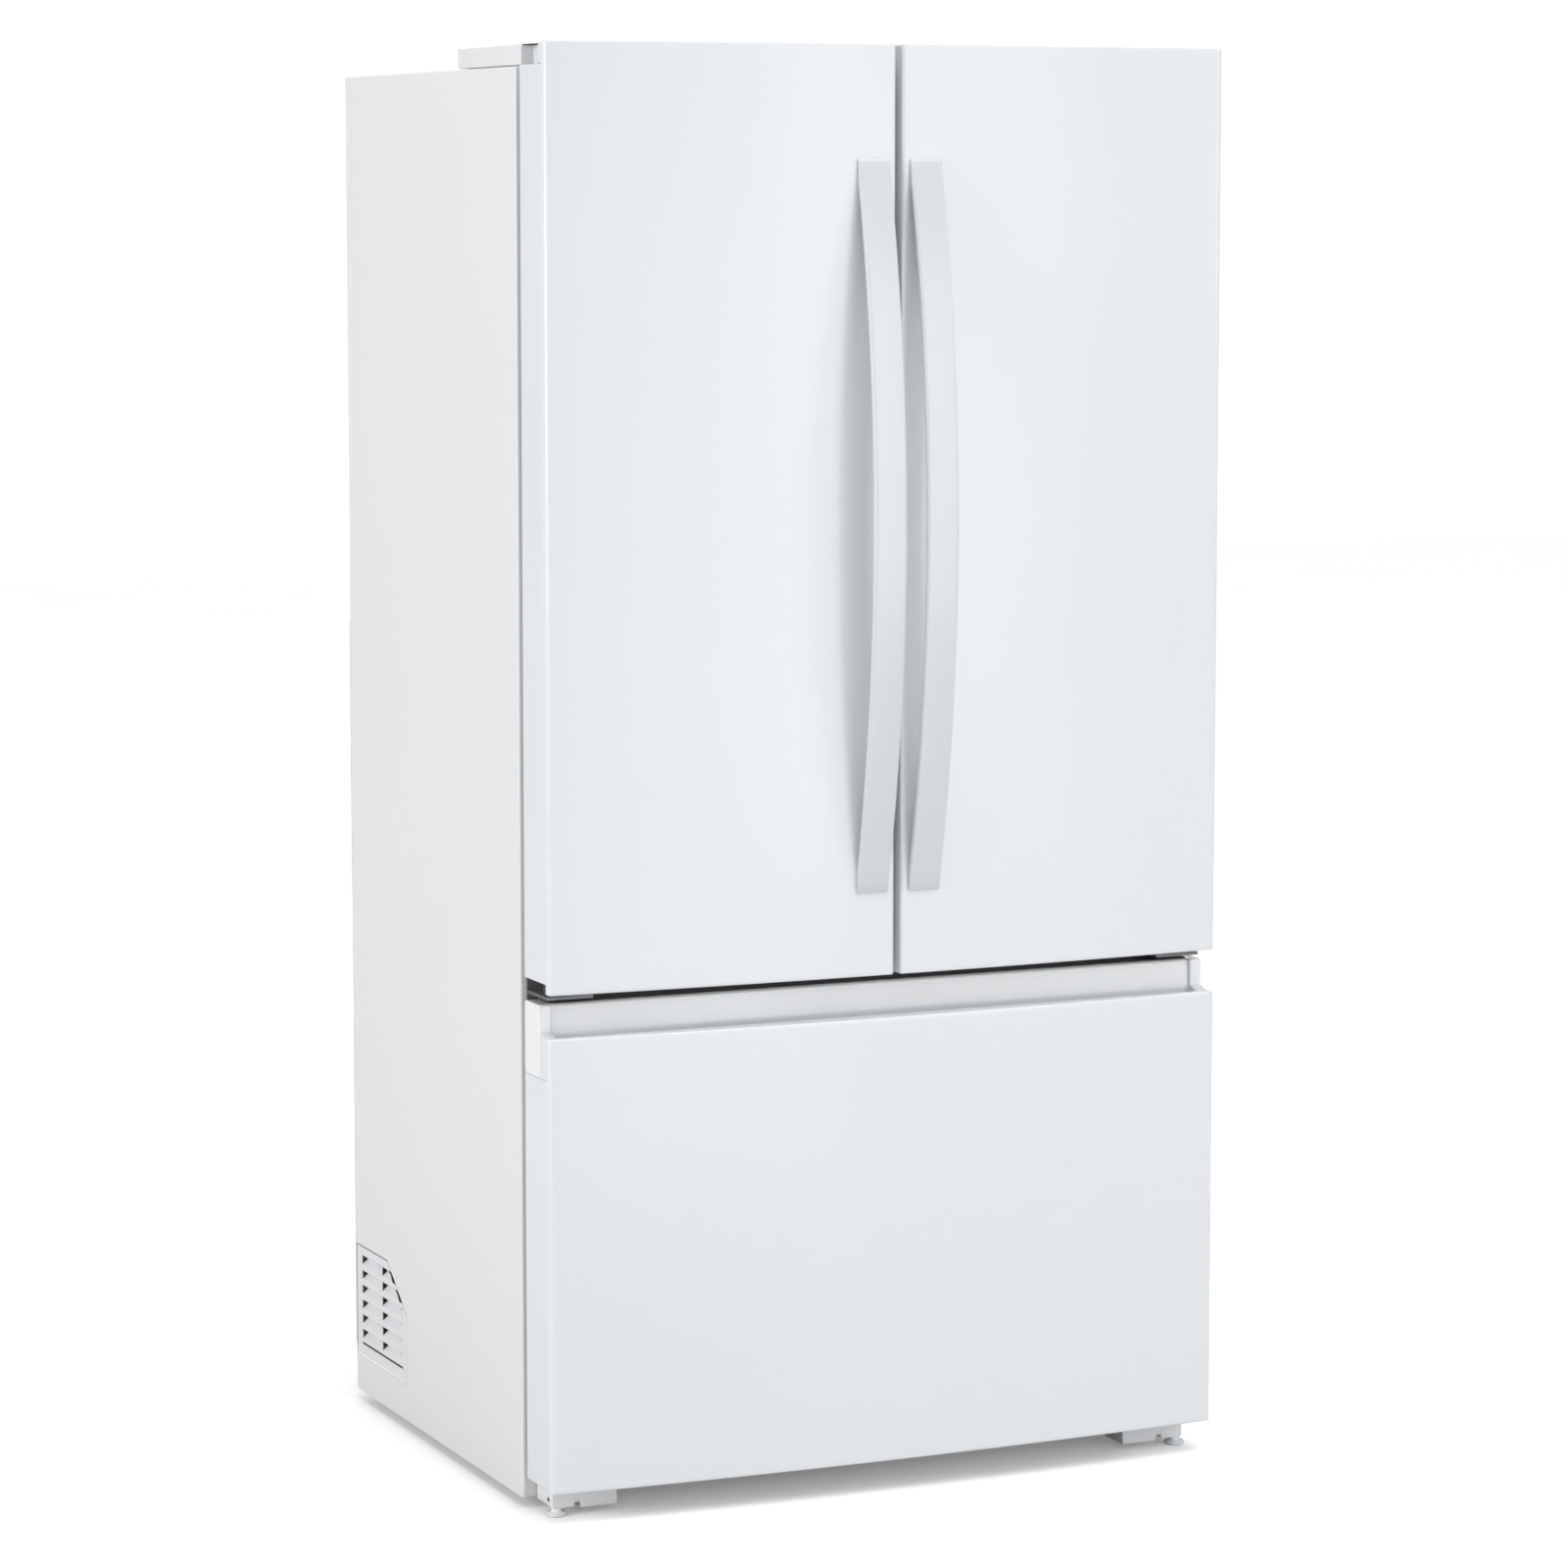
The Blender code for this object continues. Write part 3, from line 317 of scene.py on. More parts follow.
def makeDust():
    # dust that settles where a surface faces up, thicker in patches, and dulls what it covers
    group, given, result = newGroup("settled_dust", [
        ("Colour", "Color", (0.8, 0.8, 0.8, 1)), ("Roughness", "Float", 0.4),
        ("Dust", "Color", (0.55, 0.53, 0.5, 1)), ("Amount", "Float", 0.1)],
        [("Colour", "Color"), ("Roughness", "Float"), ("Mask", "Float")])
    facing = node(group, "SeparateXYZ", [("Vector", node(group, "NewGeometry").outputs["Normal"])])
    upward = spread(group, facing.outputs["Z"], 0.0, 1.0, 0.35, 1.0)
    patches = spread(group, noise(group, 38.0, 6.0), 0.35, 1.0)
    settled = node(group, "Math", [(0, upward), (1, patches)], operation="MULTIPLY").outputs[0]
    mask = node(group, "Math", [(0, settled), (1, given["Amount"])], operation="MULTIPLY").outputs[0]
    group.links.new(mask, result["Mask"])
    group.links.new(blended(group, mask, given["Colour"], given["Dust"]), result["Colour"])
    duller = node(group, "Math", [(0, mask), (1, 0.5)], operation="MULTIPLY").outputs[0]
    total = node(group, "Math", [(0, duller), (1, given["Roughness"])], operation="ADD").outputs[0]
    group.links.new(total, result["Roughness"])
    return group


groups = {"coating": makeCoating(), "grain": makeGrain(), "brushed": makeBrushed()}
dustGroup = makeDust()

# each finish: its group, colour and shade, roughness, pattern scale, bump (strength, distance), dust, slot
# and the values set on the shader's own sockets
finishTable = {
    "enamel": dict(group="coating", colour=(0.845, 0.860, 0.872), shade=(0.835, 0.852, 0.866), rough=0.30,
                   pattern=420.0, bump=(0.05, 0.0002), dust=0.02, slot="white_enamel",
                   shader={"Coat Weight": 0.35, "Coat Roughness": 0.12}),
    # a darker copy of the enamel for the handle straps: painted shade that dims them where light falls on
    # them more strongly than on the doors
    "paintedShadeEnamel": dict(group="coating", colour=(0.745, 0.757, 0.766), shade=(0.735, 0.748, 0.758),
                         rough=0.30, pattern=420.0, bump=(0.05, 0.0002), dust=0.02, slot="white_enamel",
                         shader={"Coat Weight": 0.35, "Coat Roughness": 0.12}),
    # a lighter, glossier copy of the enamel: painted light that brightens the drawer's pull recess, the foot
    # covers and the foot screws, which sit in shade
    "paintedLightEnamel": dict(group="coating", colour=(0.96, 0.965, 0.97), shade=(0.95, 0.96, 0.965), rough=0.22,
                         pattern=420.0, bump=(0.05, 0.0002), dust=0.02, slot="white_enamel",
                         shader={"Coat Weight": 0.8, "Coat Roughness": 0.10}),
    "cabinetEnamel": dict(group="coating", colour=(0.840, 0.842, 0.842), shade=(0.828, 0.832, 0.834),
                          rough=0.38, pattern=260.0, bump=(0.12, 0.0003), dust=0.05, slot="white_enamel"),
    "trimPlastic": dict(group="grain", colour=(0.82, 0.825, 0.83), shade=(0.80, 0.81, 0.82), rough=0.36,
                        pattern=1100.0, bump=(0.05, 0.0001), dust=0.03, slot="white_plastic"),
    "linerPlastic": dict(group="grain", colour=(0.80, 0.81, 0.82), shade=(0.78, 0.795, 0.81), rough=0.28,
                         pattern=700.0, bump=(0.03, 0.0001), dust=0.0, slot="white_plastic"),
    "greyPlastic": dict(group="grain", colour=(0.46, 0.47, 0.48), shade=(0.42, 0.43, 0.445), rough=0.40,
                        pattern=1000.0, bump=(0.15, 0.0002), dust=0.03, slot="grey_plastic"),
    # dark plastic for the real dark parts, and the same dark colour used as painted shade: the vent strips,
    # the slot and slit patches, the strip in the gap under the doors and the doors' bottom caps
    "darkPlasticAndShade": dict(group="grain", colour=(0.045, 0.046, 0.05), shade=(0.03, 0.031, 0.034), rough=0.48,
                        pattern=900.0, bump=(0.25, 0.0002), dust=0.12, slot="dark_plastic"),
    # gasket rubber whose dark grey is partly its own colour and partly painted shade for the gaps round the
    # doors and drawer
    "sealRubberAndShade": dict(group="grain", colour=(0.26, 0.265, 0.27), shade=(0.23, 0.235, 0.24), rough=0.55,
                       pattern=1400.0, bump=(0.1, 0.0001), dust=0.02, slot="seal_rubber"),
    "zincSteel": dict(group="brushed", colour=(0.62, 0.63, 0.64), shade=(0.54, 0.55, 0.57), rough=0.26,
                      pattern=70.0, bump=(0.06, 0.0001), dust=0.06, slot="zinc_steel",
                      shader={"Metallic": 1.0}),
    # dark steel for the centre hinges, whose darkness is partly their own colour and partly painted shade in
    # the gap under the doors
    "hingeSteelAndShade": dict(group="brushed", colour=(0.24, 0.245, 0.25), shade=(0.20, 0.205, 0.21), rough=0.36,
                       pattern=70.0, bump=(0.06, 0.0001), dust=0.06, slot="zinc_steel",
                       shader={"Metallic": 0.8}),
    "backSteel": dict(group="brushed", colour=(0.74, 0.755, 0.75), shade=(0.69, 0.705, 0.70), rough=0.42,
                      pattern=45.0, bump=(0.08, 0.0001), dust=0.04, slot="zinc_steel",
                      shader={"Metallic": 0.25}),
    "blackPaint": dict(group="coating", colour=(0.022, 0.022, 0.024), shade=(0.016, 0.016, 0.018), rough=0.32,
                       pattern=200.0, bump=(0.2, 0.0003), dust=0.25, slot="black_paint"),
    "blackTube": dict(group="coating", colour=(0.03, 0.03, 0.032), shade=(0.02, 0.02, 0.022), rough=0.4,
                      pattern=300.0, bump=(0.1, 0.0002), dust=0.3, slot="black_tube"),
    "copperTube": dict(group="brushed", colour=(0.72, 0.37, 0.24), shade=(0.60, 0.28, 0.17), rough=0.28,
                       pattern=90.0, bump=(0.1, 0.0001), dust=0.05, slot="copper_tube",
                       shader={"Metallic": 1.0}),
    "foam": dict(group="grain", colour=(0.84, 0.76, 0.52), shade=(0.74, 0.64, 0.40), rough=0.85,
                 pattern=220.0, bump=(0.6, 0.001), dust=0.0, slot="insulation_foam"),
    "shelfGlass": dict(group="coating", colour=(0.86, 0.95, 0.93), shade=(0.83, 0.93, 0.91), rough=0.04,
                       pattern=40.0, bump=(0.01, 0.0001), dust=0.0, slot="shelf_glass",
                       shader={"Transmission Weight": 1.0, "IOR": 1.5}),
    "clearPlastic": dict(group="grain", colour=(0.90, 0.94, 0.97), shade=(0.86, 0.91, 0.95), rough=0.06,
                         pattern=300.0, bump=(0.02, 0.0001), dust=0.0, slot="clear_plastic",
                         shader={"Transmission Weight": 0.85, "IOR": 1.46}),
    "lampPlastic": dict(group="grain", colour=(0.92, 0.93, 0.93), shade=(0.88, 0.90, 0.90), rough=0.32,
                        pattern=500.0, bump=(0.08, 0.0002), dust=0.0, slot="clear_plastic",
                        shader={"Emission Color": (0.97, 0.99, 1.0, 1.0), "Emission Strength": 6.0}),
    "frostPlastic": dict(group="grain", colour=(0.88, 0.90, 0.92), shade=(0.84, 0.87, 0.90), rough=0.32,
                         pattern=500.0, bump=(0.08, 0.0002), dust=0.0, slot="clear_plastic",
                         shader={"Transmission Weight": 0.45, "IOR": 1.46}),
}


def makeFinish(name, group, colour, shade, rough, pattern, bump, slot, dust=0.0, shader=None):
    material = bpy.data.materials.new(name)
    material.use_nodes = True
    tree = material.node_tree
    principled = tree.nodes["Principled BSDF"]
    surface = node(tree, "Group", node_tree=groups[group])
    surface.inputs["Colour"].default_value = (*colour, 1.0)
    surface.inputs["Shade"].default_value = (*shade, 1.0)
    surface.inputs["Roughness"].default_value = rough
    surface.inputs[3].default_value = pattern
    colourFrom, roughFrom = surface.outputs["Colour"], surface.outputs["Roughness"]
    if dust:
        settled = node(tree, "Group", node_tree=dustGroup)
        tree.links.new(colourFrom, settled.inputs["Colour"])
        tree.links.new(roughFrom, settled.inputs["Roughness"])
        settled.inputs["Amount"].default_value = dust
        colourFrom, roughFrom = settled.outputs["Colour"], settled.outputs["Roughness"]
    tree.links.new(colourFrom, principled.inputs["Base Color"])
    tree.links.new(roughFrom, principled.inputs["Roughness"])
    relief = node(tree, "Bump", [("Height", surface.outputs["Height"]), ("Strength", bump[0]),
                                 ("Distance", bump[1])])
    tree.links.new(relief.outputs["Normal"], principled.inputs["Normal"])
    for label, value in (shader or {}).items():
        principled.inputs[label].default_value = value
    return material


finishes = {name: makeFinish(name, **settings) for name, settings in finishTable.items()}
print("finishes:", len(finishes))


def creaseRims(mesh):
    # an open sheet's outer edges, which belong to one face each, are marked sharp before it gets its wall
    used = np.empty(len(mesh.loops), int)
    mesh.loops.foreach_get("edge_index", used)
    sharpEdges = mesh.attributes.get("sharp_edge") or mesh.attributes.new("sharp_edge", "BOOLEAN", "EDGE")
    marks = np.empty(len(mesh.edges), bool)
    sharpEdges.data.foreach_get("value", marks)
    marks |= np.bincount(used, minlength=len(mesh.edges)) == 1
    sharpEdges.data.foreach_set("value", marks)


def piece(name, parts, finish, body, stands=(), sharp=40.0, wall=0.0):
    # one named mesh from closed parts, or from open sheets that are given a wall
    verts, faces, base = [], [], 0
    for points, polygons in parts:
        verts.append(points)
        faces += [[index + base for index in face] for face in polygons]
        base += len(points)
    mesh = bpy.data.meshes.new(name)
    mesh.from_pydata(np.concatenate(verts).tolist(), [], faces)
    mesh.materials.append(finishes[finish])
    mesh.polygons.foreach_set("use_smooth", [len(face) < 9 for face in faces])  # filled ends stay flat
    mesh.set_sharp_from_angle(angle=math.radians(sharp))
    obj = bpy.data.objects.new(name, mesh)
    scene.collection.objects.link(obj)
    if wall:
        creaseRims(mesh)
        solid = obj.modifiers.new("wall", "SOLIDIFY")
        solid.thickness, solid.offset = wall, -1.0
    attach(obj, body)
    if stands:
        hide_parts(*stands)
    return obj


# Doors and drawer, outside

halfWidth = cadBounds[1][0]
hingePin = np.array([0.4315, -0.2875])  # the right doors' axis in plan
frontShape = {"bulge": 0.016, "outerCorner": 0.006, "innerCorner": 0.004, "rimEdge": 0.0018,
              "skinDepth": 0.0110, "seam": 0.0009, "sideInset": 0.0003, "lipDepth": 0.0230,
              "hold": 0.003}
doorLow, doorHigh = span("left_door_panel")
sideY = doorLow[1] + frontShape["bulge"] * (1 - (doorHigh[0] / halfWidth) ** 2)
seamY = sideY + frontShape["skinDepth"]


def frontY(x):
    # a parabola seen from above: side y - bulge * (1 - (x / half width)^2)
    return sideY - frontShape["bulge"] * (1 - (np.asarray(x) / halfWidth) ** 2)


def frontOutline(lowX, highX, rear, lowCorner, highCorner, count=28):
    # rear edge, a quarter arc, the front parabola and a quarter arc, anticlockwise from the rear right corner
    t = np.linspace(0, np.pi / 2, 6)
    leftX, rightX = lowX + lowCorner * (1 - np.cos(t)), highX - highCorner * (1 - np.cos(t[::-1]))
    left = np.stack([leftX, frontY(leftX) + lowCorner * (1 - np.sin(t))], 1)
    right = np.stack([rightX, frontY(rightX) + highCorner * (1 - np.sin(t[::-1]))], 1)
    hold = frontShape["hold"]
    x = np.linspace(lowX + lowCorner + hold, highX - highCorner - hold, count)
    front = np.stack([x, frontY(x)], 1)
    rearCorners = [(highX, rear), (lowX, rear)]
    return np.concatenate([rearCorners, left, front, right])


def doorParts(side):
    low, high = span(("left" if side < 0 else "right") + "_door_panel")
    corners = [frontShape["outerCorner"], frontShape["innerCorner"]][::-side]
    edge, seam, inset = frontShape["rimEdge"], frontShape["seam"], frontShape["sideInset"]
    linerLow, linerHigh = span(("left" if side < 0 else "right") + "_door_liner")
    plan = frontOutline(low[0], high[0], seamY, *corners)
    skin = prismPart(plan, low[2], high[2], edge, holdIn=0.0012)
    bodyFront, bodyRear = seamY + seam, high[1] - inset
    bodyTop, bodyBottom = linerHigh[2] + 0.002, linerLow[2] - 0.002
    body = slab((low[0] + inset, bodyFront, bodyBottom), (high[0] - inset, bodyRear, bodyTop), 0.0015, 0.0012)
    lipRear = sideY + frontShape["lipDepth"]
    capInset = 2 * inset
    topCap = slab((low[0] + capInset, bodyFront, bodyTop + 0.0004),
                  (high[0] - capInset, lipRear, high[2] - 0.0012), 0.003, 0.0020)
    lowCap = slab((low[0] + capInset, bodyFront, low[2] + 0.0012),
                  (high[0] - capInset, lipRear, bodyBottom - 0.0004), 0.003, 0.0020)
    core = slab((low[0] + 0.004, seamY - 0.002, bodyBottom + 0.004),
                (high[0] - 0.004, bodyFront + 0.002, bodyTop - 0.004), 0.001, 0.0004)
    return skin, body, topCap, lowCap, core


for word, side in sides:
    rider = word + "_door"
    skin, body, topCap, lowCap, core = doorParts(side)
    piece(word + "_door_skin", [skin], "enamel", rider, stands=[word + "_door_panel"])
    piece(word + "_door_side_shell", [body], "enamel", rider)
    piece(word + "_door_top_cap", [topCap], "trimPlastic", rider)
    # the bottom end cap's dark colour is partly the cap's own grey and partly painted shade for the gap above
    # the drawer
    piece(word + "_door_bottom_cap", [lowCap], "darkPlasticAndShade", rider)
    piece(word + "_door_seam_core", [core], "greyPlastic", rider)
print("door shells made")

handleShape = {"thickness": 0.0100, "edge": 0.0032, "crown": 0.0011, "endHeight": 0.0035, "chamfer": 0.0030,
               "rows": 64}


def handlePart(word):
    # rounded strap sections up z; front y = door - end height - bow (1 - s^2), s from -1 to 1 along the
    # height, its back kept off the door, and the front pulled in by crown * (a / half width)^2 towards both
    # edges
    low, high = span(word + "_door_handle")
    middle, half = (low + high) / 2, (high - low) / 2
    door = high[1]
    bow = door - handleShape["endHeight"] - low[1]
    thickness = handleShape["thickness"]
    chamfer = handleShape["chamfer"]
    s = np.linspace(-1, 1, handleShape["rows"])
    nearEnd = np.array([chamfer * 0.25, chamfer * 0.6, chamfer]) / half[2]
    s = np.unique(np.concatenate([s, -1 + nearEnd, 1 - nearEnd]))
    height = handleShape["endHeight"] + bow * (1 - s ** 2)
    fromEnd = (1 - np.abs(s)) * half[2]
    height *= np.clip(0.35 + 0.65 * fromEnd / chamfer, 0, 1)
    back = np.maximum(height - thickness, 0.0)
    halfThick = (height - back) / 2
    rows = np.stack([np.full_like(s, half[0]) - 0.0012 * np.clip(1 - fromEnd / chamfer, 0, 1), halfThick,
                     np.minimum(handleShape["edge"], halfThick * 0.9), middle[2] + s * half[2]], 1)
    rings = roundLoops(rows, "z", (middle[0], 0.0), steps=6)
    across = (rings[..., 0] - middle[0]) / half[0]
    frontShare = np.clip(-rings[..., 1] / halfThick[:, None], 0, 1)
    rings[..., 1] += handleShape["crown"] * across ** 2 * frontShare * np.clip(fromEnd / chamfer, 0,
                                                                               1)[:, None]
    rings[..., 1] += (door - (height + back) / 2)[:, None]
    return stackPart(rings)


for word, side in sides:
    # the straps' darker enamel is painted shade
    piece(word + "_handle_strap", [handlePart(word)], "paintedShadeEnamel", word + "_door",
          stands=[word + "_door_handle"])
print("handles made")

drawerShape = {"slope": 0.012, "panelTop": 0.597, "grooveFloor": 0.545, "endCap": 0.0165,
               "wallFront": 0.0350, "lean": 0.0050, "capFloor": 0.5454, "stripSet": 0.0110}
low, high = span("freezer_front")
inset, seam = frontShape["sideInset"], frontShape["seam"]
plan = frontOutline(low[0], high[0], seamY, frontShape["outerCorner"], frontShape["outerCorner"], 44)
skin = prismPart(plan, low[2], drawerShape["panelTop"], frontShape["rimEdge"], holdIn=0.0012)
bodyFront, wallFront = seamY + seam, sideY + drawerShape["wallFront"]
body = slab((low[0] + inset, bodyFront, low[2] + 0.002),
            (high[0] - inset, high[1] - inset, drawerShape["grooveFloor"]), 0.0015, 0.0012)
wallRear, wallBottom = high[1] - inset, drawerShape["grooveFloor"] + 0.0004
sideStart = halfWidth - drawerShape["endCap"]
wallSection = roundCorners([(wallFront, wallBottom), (wallRear, wallBottom), (wallRear, high[2]),
                       (wallFront + drawerShape["lean"], high[2])], (0.001, 0.001, 0.0030, 0.0040))
wall = prismPart(wallSection, -sideStart, sideStart, 0.0003, "x", holdIn=0.0002)
wallEnd = slab((sideStart + 0.0001, wallFront, wallBottom), (high[0] - inset, wallRear, high[2]), 0.0030,
               0.0012, "x")
panelTop, capFloor, capRear = drawerShape["panelTop"], drawerShape["capFloor"], wallFront - 0.0004
capTop = [(bodyFront, capFloor), (capRear, capFloor), (capRear, panelTop + 0.004),
          (bodyFront + drawerShape["slope"], panelTop), (bodyFront, panelTop - 0.003)]
endCap = prismPart(roundCorners(capTop, 0.0015), halfWidth - drawerShape["endCap"], halfWidth - inset,
                   0.0012, "x", holdIn=0.0002)
piece("drawer_skin", [skin], "enamel", "freezer_drawer", stands=["freezer_front"])
piece("drawer_side_shell", [body], "enamel", "freezer_drawer")
# a dark strip along the top of the pull wall: painted shade in the gap under the doors
gapShadeStrip = slab((-sideStart, wallFront + drawerShape["stripSet"], high[2] - 0.0005),
                (sideStart, wallRear - 0.0010, high[2] + 0.0012), 0.0020, 0.0006)
piece("drawer_gap_shade_strip", [gapShadeStrip], "darkPlasticAndShade", "freezer_drawer")
# the pull wall's lighter enamel is painted light on a recess that sits in shade
piece("drawer_pull_wall", [wall] + [mirrored(wallEnd, s) for _, s in sides], "paintedLightEnamel", "freezer_drawer")
piece("drawer_pull_end_caps", [mirrored(endCap, s) for _, s in sides], "trimPlastic", "freezer_drawer")
print("drawer front made")


# Cabinet, outside

cabinetShape = {"corner": 0.0035, "fold": 0.0030, "flange": 0.0425, "foldEnd": 0.050, "topBand": 0.080,
                "wall": 0.0010, "hold": 0.07}
shellLow, shellHigh = span("cabinet_shell")


def archLoops(rows, bottom):
    # up the left side, over the top and down the right, at a distance in from the outside. A row is
    # distance, y
    rows = np.array(rows, float)
    inward, y = rows[:, :1], rows[:, 1:]
    radius = np.maximum(cabinetShape["corner"] - inward, 0.0003)
    t = np.linspace(0, np.pi / 2, 6)
    halfX, top = shellHigh[0] - inward, shellHigh[2] - inward
    cornerX, cornerZ = halfX - radius + radius * np.cos(t), top - radius + radius * np.sin(t)
    hold = cabinetShape["hold"]
    sideZ = np.broadcast_to(np.array([bottom, shellHigh[2] - hold]), (len(rows), 2))
    rightX = np.concatenate([np.broadcast_to(halfX, (len(rows), 2)), cornerX, halfX - hold], 1)
    rightZ = np.concatenate([sideZ, cornerZ, top], 1)
    x = np.concatenate([rightX, -rightX[:, ::-1]], 1)
    z = np.concatenate([rightZ, rightZ[:, ::-1]], 1)
    return np.stack([x, np.broadcast_to(y, x.shape), z], -1)


def cabinetWrap():
    fold, front = cabinetShape["fold"], shellLow[1]
    t = np.linspace(0, np.pi / 2, 6)
    rows = [(cabinetShape["flange"], front), (cabinetShape["flange"] * 0.5, front), (fold + 0.004, front)]
    rows += list(zip(fold * (1 - np.sin(t)), front + fold * (1 - np.cos(t))))
    rows += [(0.0, front + fold + 0.006), (0.0, front + cabinetShape["foldEnd"])]
    frontBand = sheetPart(archLoops(rows, shellLow[2]), flip=True)
    backRows = [(0.0, front + cabinetShape["foldEnd"]), (0.0, 0.0), (0.0, shellHigh[1])]
    topBand = sheetPart(archLoops(backRows, shellHigh[2] - cabinetShape["topBand"]), flip=True)
    return [frontBand, topBand]


def reach(outline, centre, direction):
    # how far a convex outline lies from a centre: the least of h / (n . d) over its edges that face d
    edge = np.roll(outline, -1, 0) - outline
    normal = np.stack([edge[:, 1], -edge[:, 0]], 1) / np.linalg.norm(edge, axis=1)[:, None]
    height = (normal * (outline - centre)).sum(1)
    facing = direction @ normal.T
    return np.where(facing > 1e-9, height / np.maximum(facing, 1e-9), np.inf).min(1)


def sideSheet(side, hole):
    # a flat side with the vent's outline cut out: rings from the hole to the edge, by angle about the vent
    front, rear = shellLow[1] + cabinetShape["foldEnd"], shellHigh[1]
    bottom, top = shellLow[2], shellHigh[2] - cabinetShape["topBand"]
    edge = np.array([(front, bottom), (rear, bottom), (rear, top), (front, top)])
    centre = hole.mean(0)
    corners = np.concatenate([hole, edge]) - centre
    angle = np.unique(np.concatenate([np.arctan2(corners[:, 1], corners[:, 0]), np.linspace(-3.1, 3.1, 60)]))
    direction = np.stack([np.cos(angle), np.sin(angle)], 1)
    inner, outer = reach(hole, centre, direction), reach(edge, centre, direction)
    flat = centre + direction * np.stack([inner, outer])[..., None]
    flat = np.concatenate([flat, flat[:, :1]], 1)
    return sheetPart(placed(flat, side * shellHigh[0], "x"), flip=side > 0)


ventLow, ventHigh = span("right_side_vent")
ventCut = {"across": 0.075, "down": 0.059}
ventOutline = np.array([
    (ventLow[1], ventLow[2]), (ventHigh[1], ventLow[2]), (ventHigh[1], ventHigh[2]),
    (ventLow[1] + ventCut["across"], ventHigh[2]), (ventLow[1], ventHigh[2] - ventCut["down"]),
])
ventHole = outlineLoops(ventOutline, [-0.0004], [0.0], "x")[0][:, 1:]
wrap = cabinetWrap() + [sideSheet(side, ventHole) for _, side in sides]
piece("cabinet_wrap", wrap, "cabinetEnamel", "cabinet", stands=["cabinet_shell"], wall=cabinetShape["wall"])

ventShape = {"rows": 6, "pitch": 0.0200, "bottom": 0.0235, "cell": 0.0136, "deep": 0.0094, "apex": 0.62,
             "thick": 0.0010,
             "plate": 0.0014, "recess": 0.0004, "columns": ((0.0170, 0.0960), (0.1005, 0.1755)),
             "clip": 0.0090,
             "line": 0.0030, "shrink": 0.0015, "margin": 0.0040, "seam": 0.0001, "shadeBack": 0.0012,
             "shadeHalf": 0.0045, "shadeThick": 0.0008}


def groovePart(begins, end, low):
    # one cell: a V groove, depth = deep min(t / apex, (1 - t) / (1 - apex)), t up the cell, open at its rear
    t = np.linspace(0, 1, 9)
    start = np.interp(t, [0, 1], begins)[:, None]
    y = start + (end - start) * np.linspace(0, 1, 5)
    z = np.broadcast_to((low + ventShape["cell"] * t)[:, None], y.shape)
    apex = ventShape["apex"]
    depth = ventShape["recess"] + ventShape["deep"] * np.minimum(t / apex, (1 - t) / (1 - apex))[:, None]
    x = ventHigh[0] - depth * np.minimum(1.0, np.linspace(0.15, 4.0, 5))
    face = np.stack([x, y, z], -1)
    back = face - np.array([ventShape["thick"], 0.0, 0.0])
    return stackPart(np.concatenate([face, back[::-1]], 0).transpose(1, 0, 2))


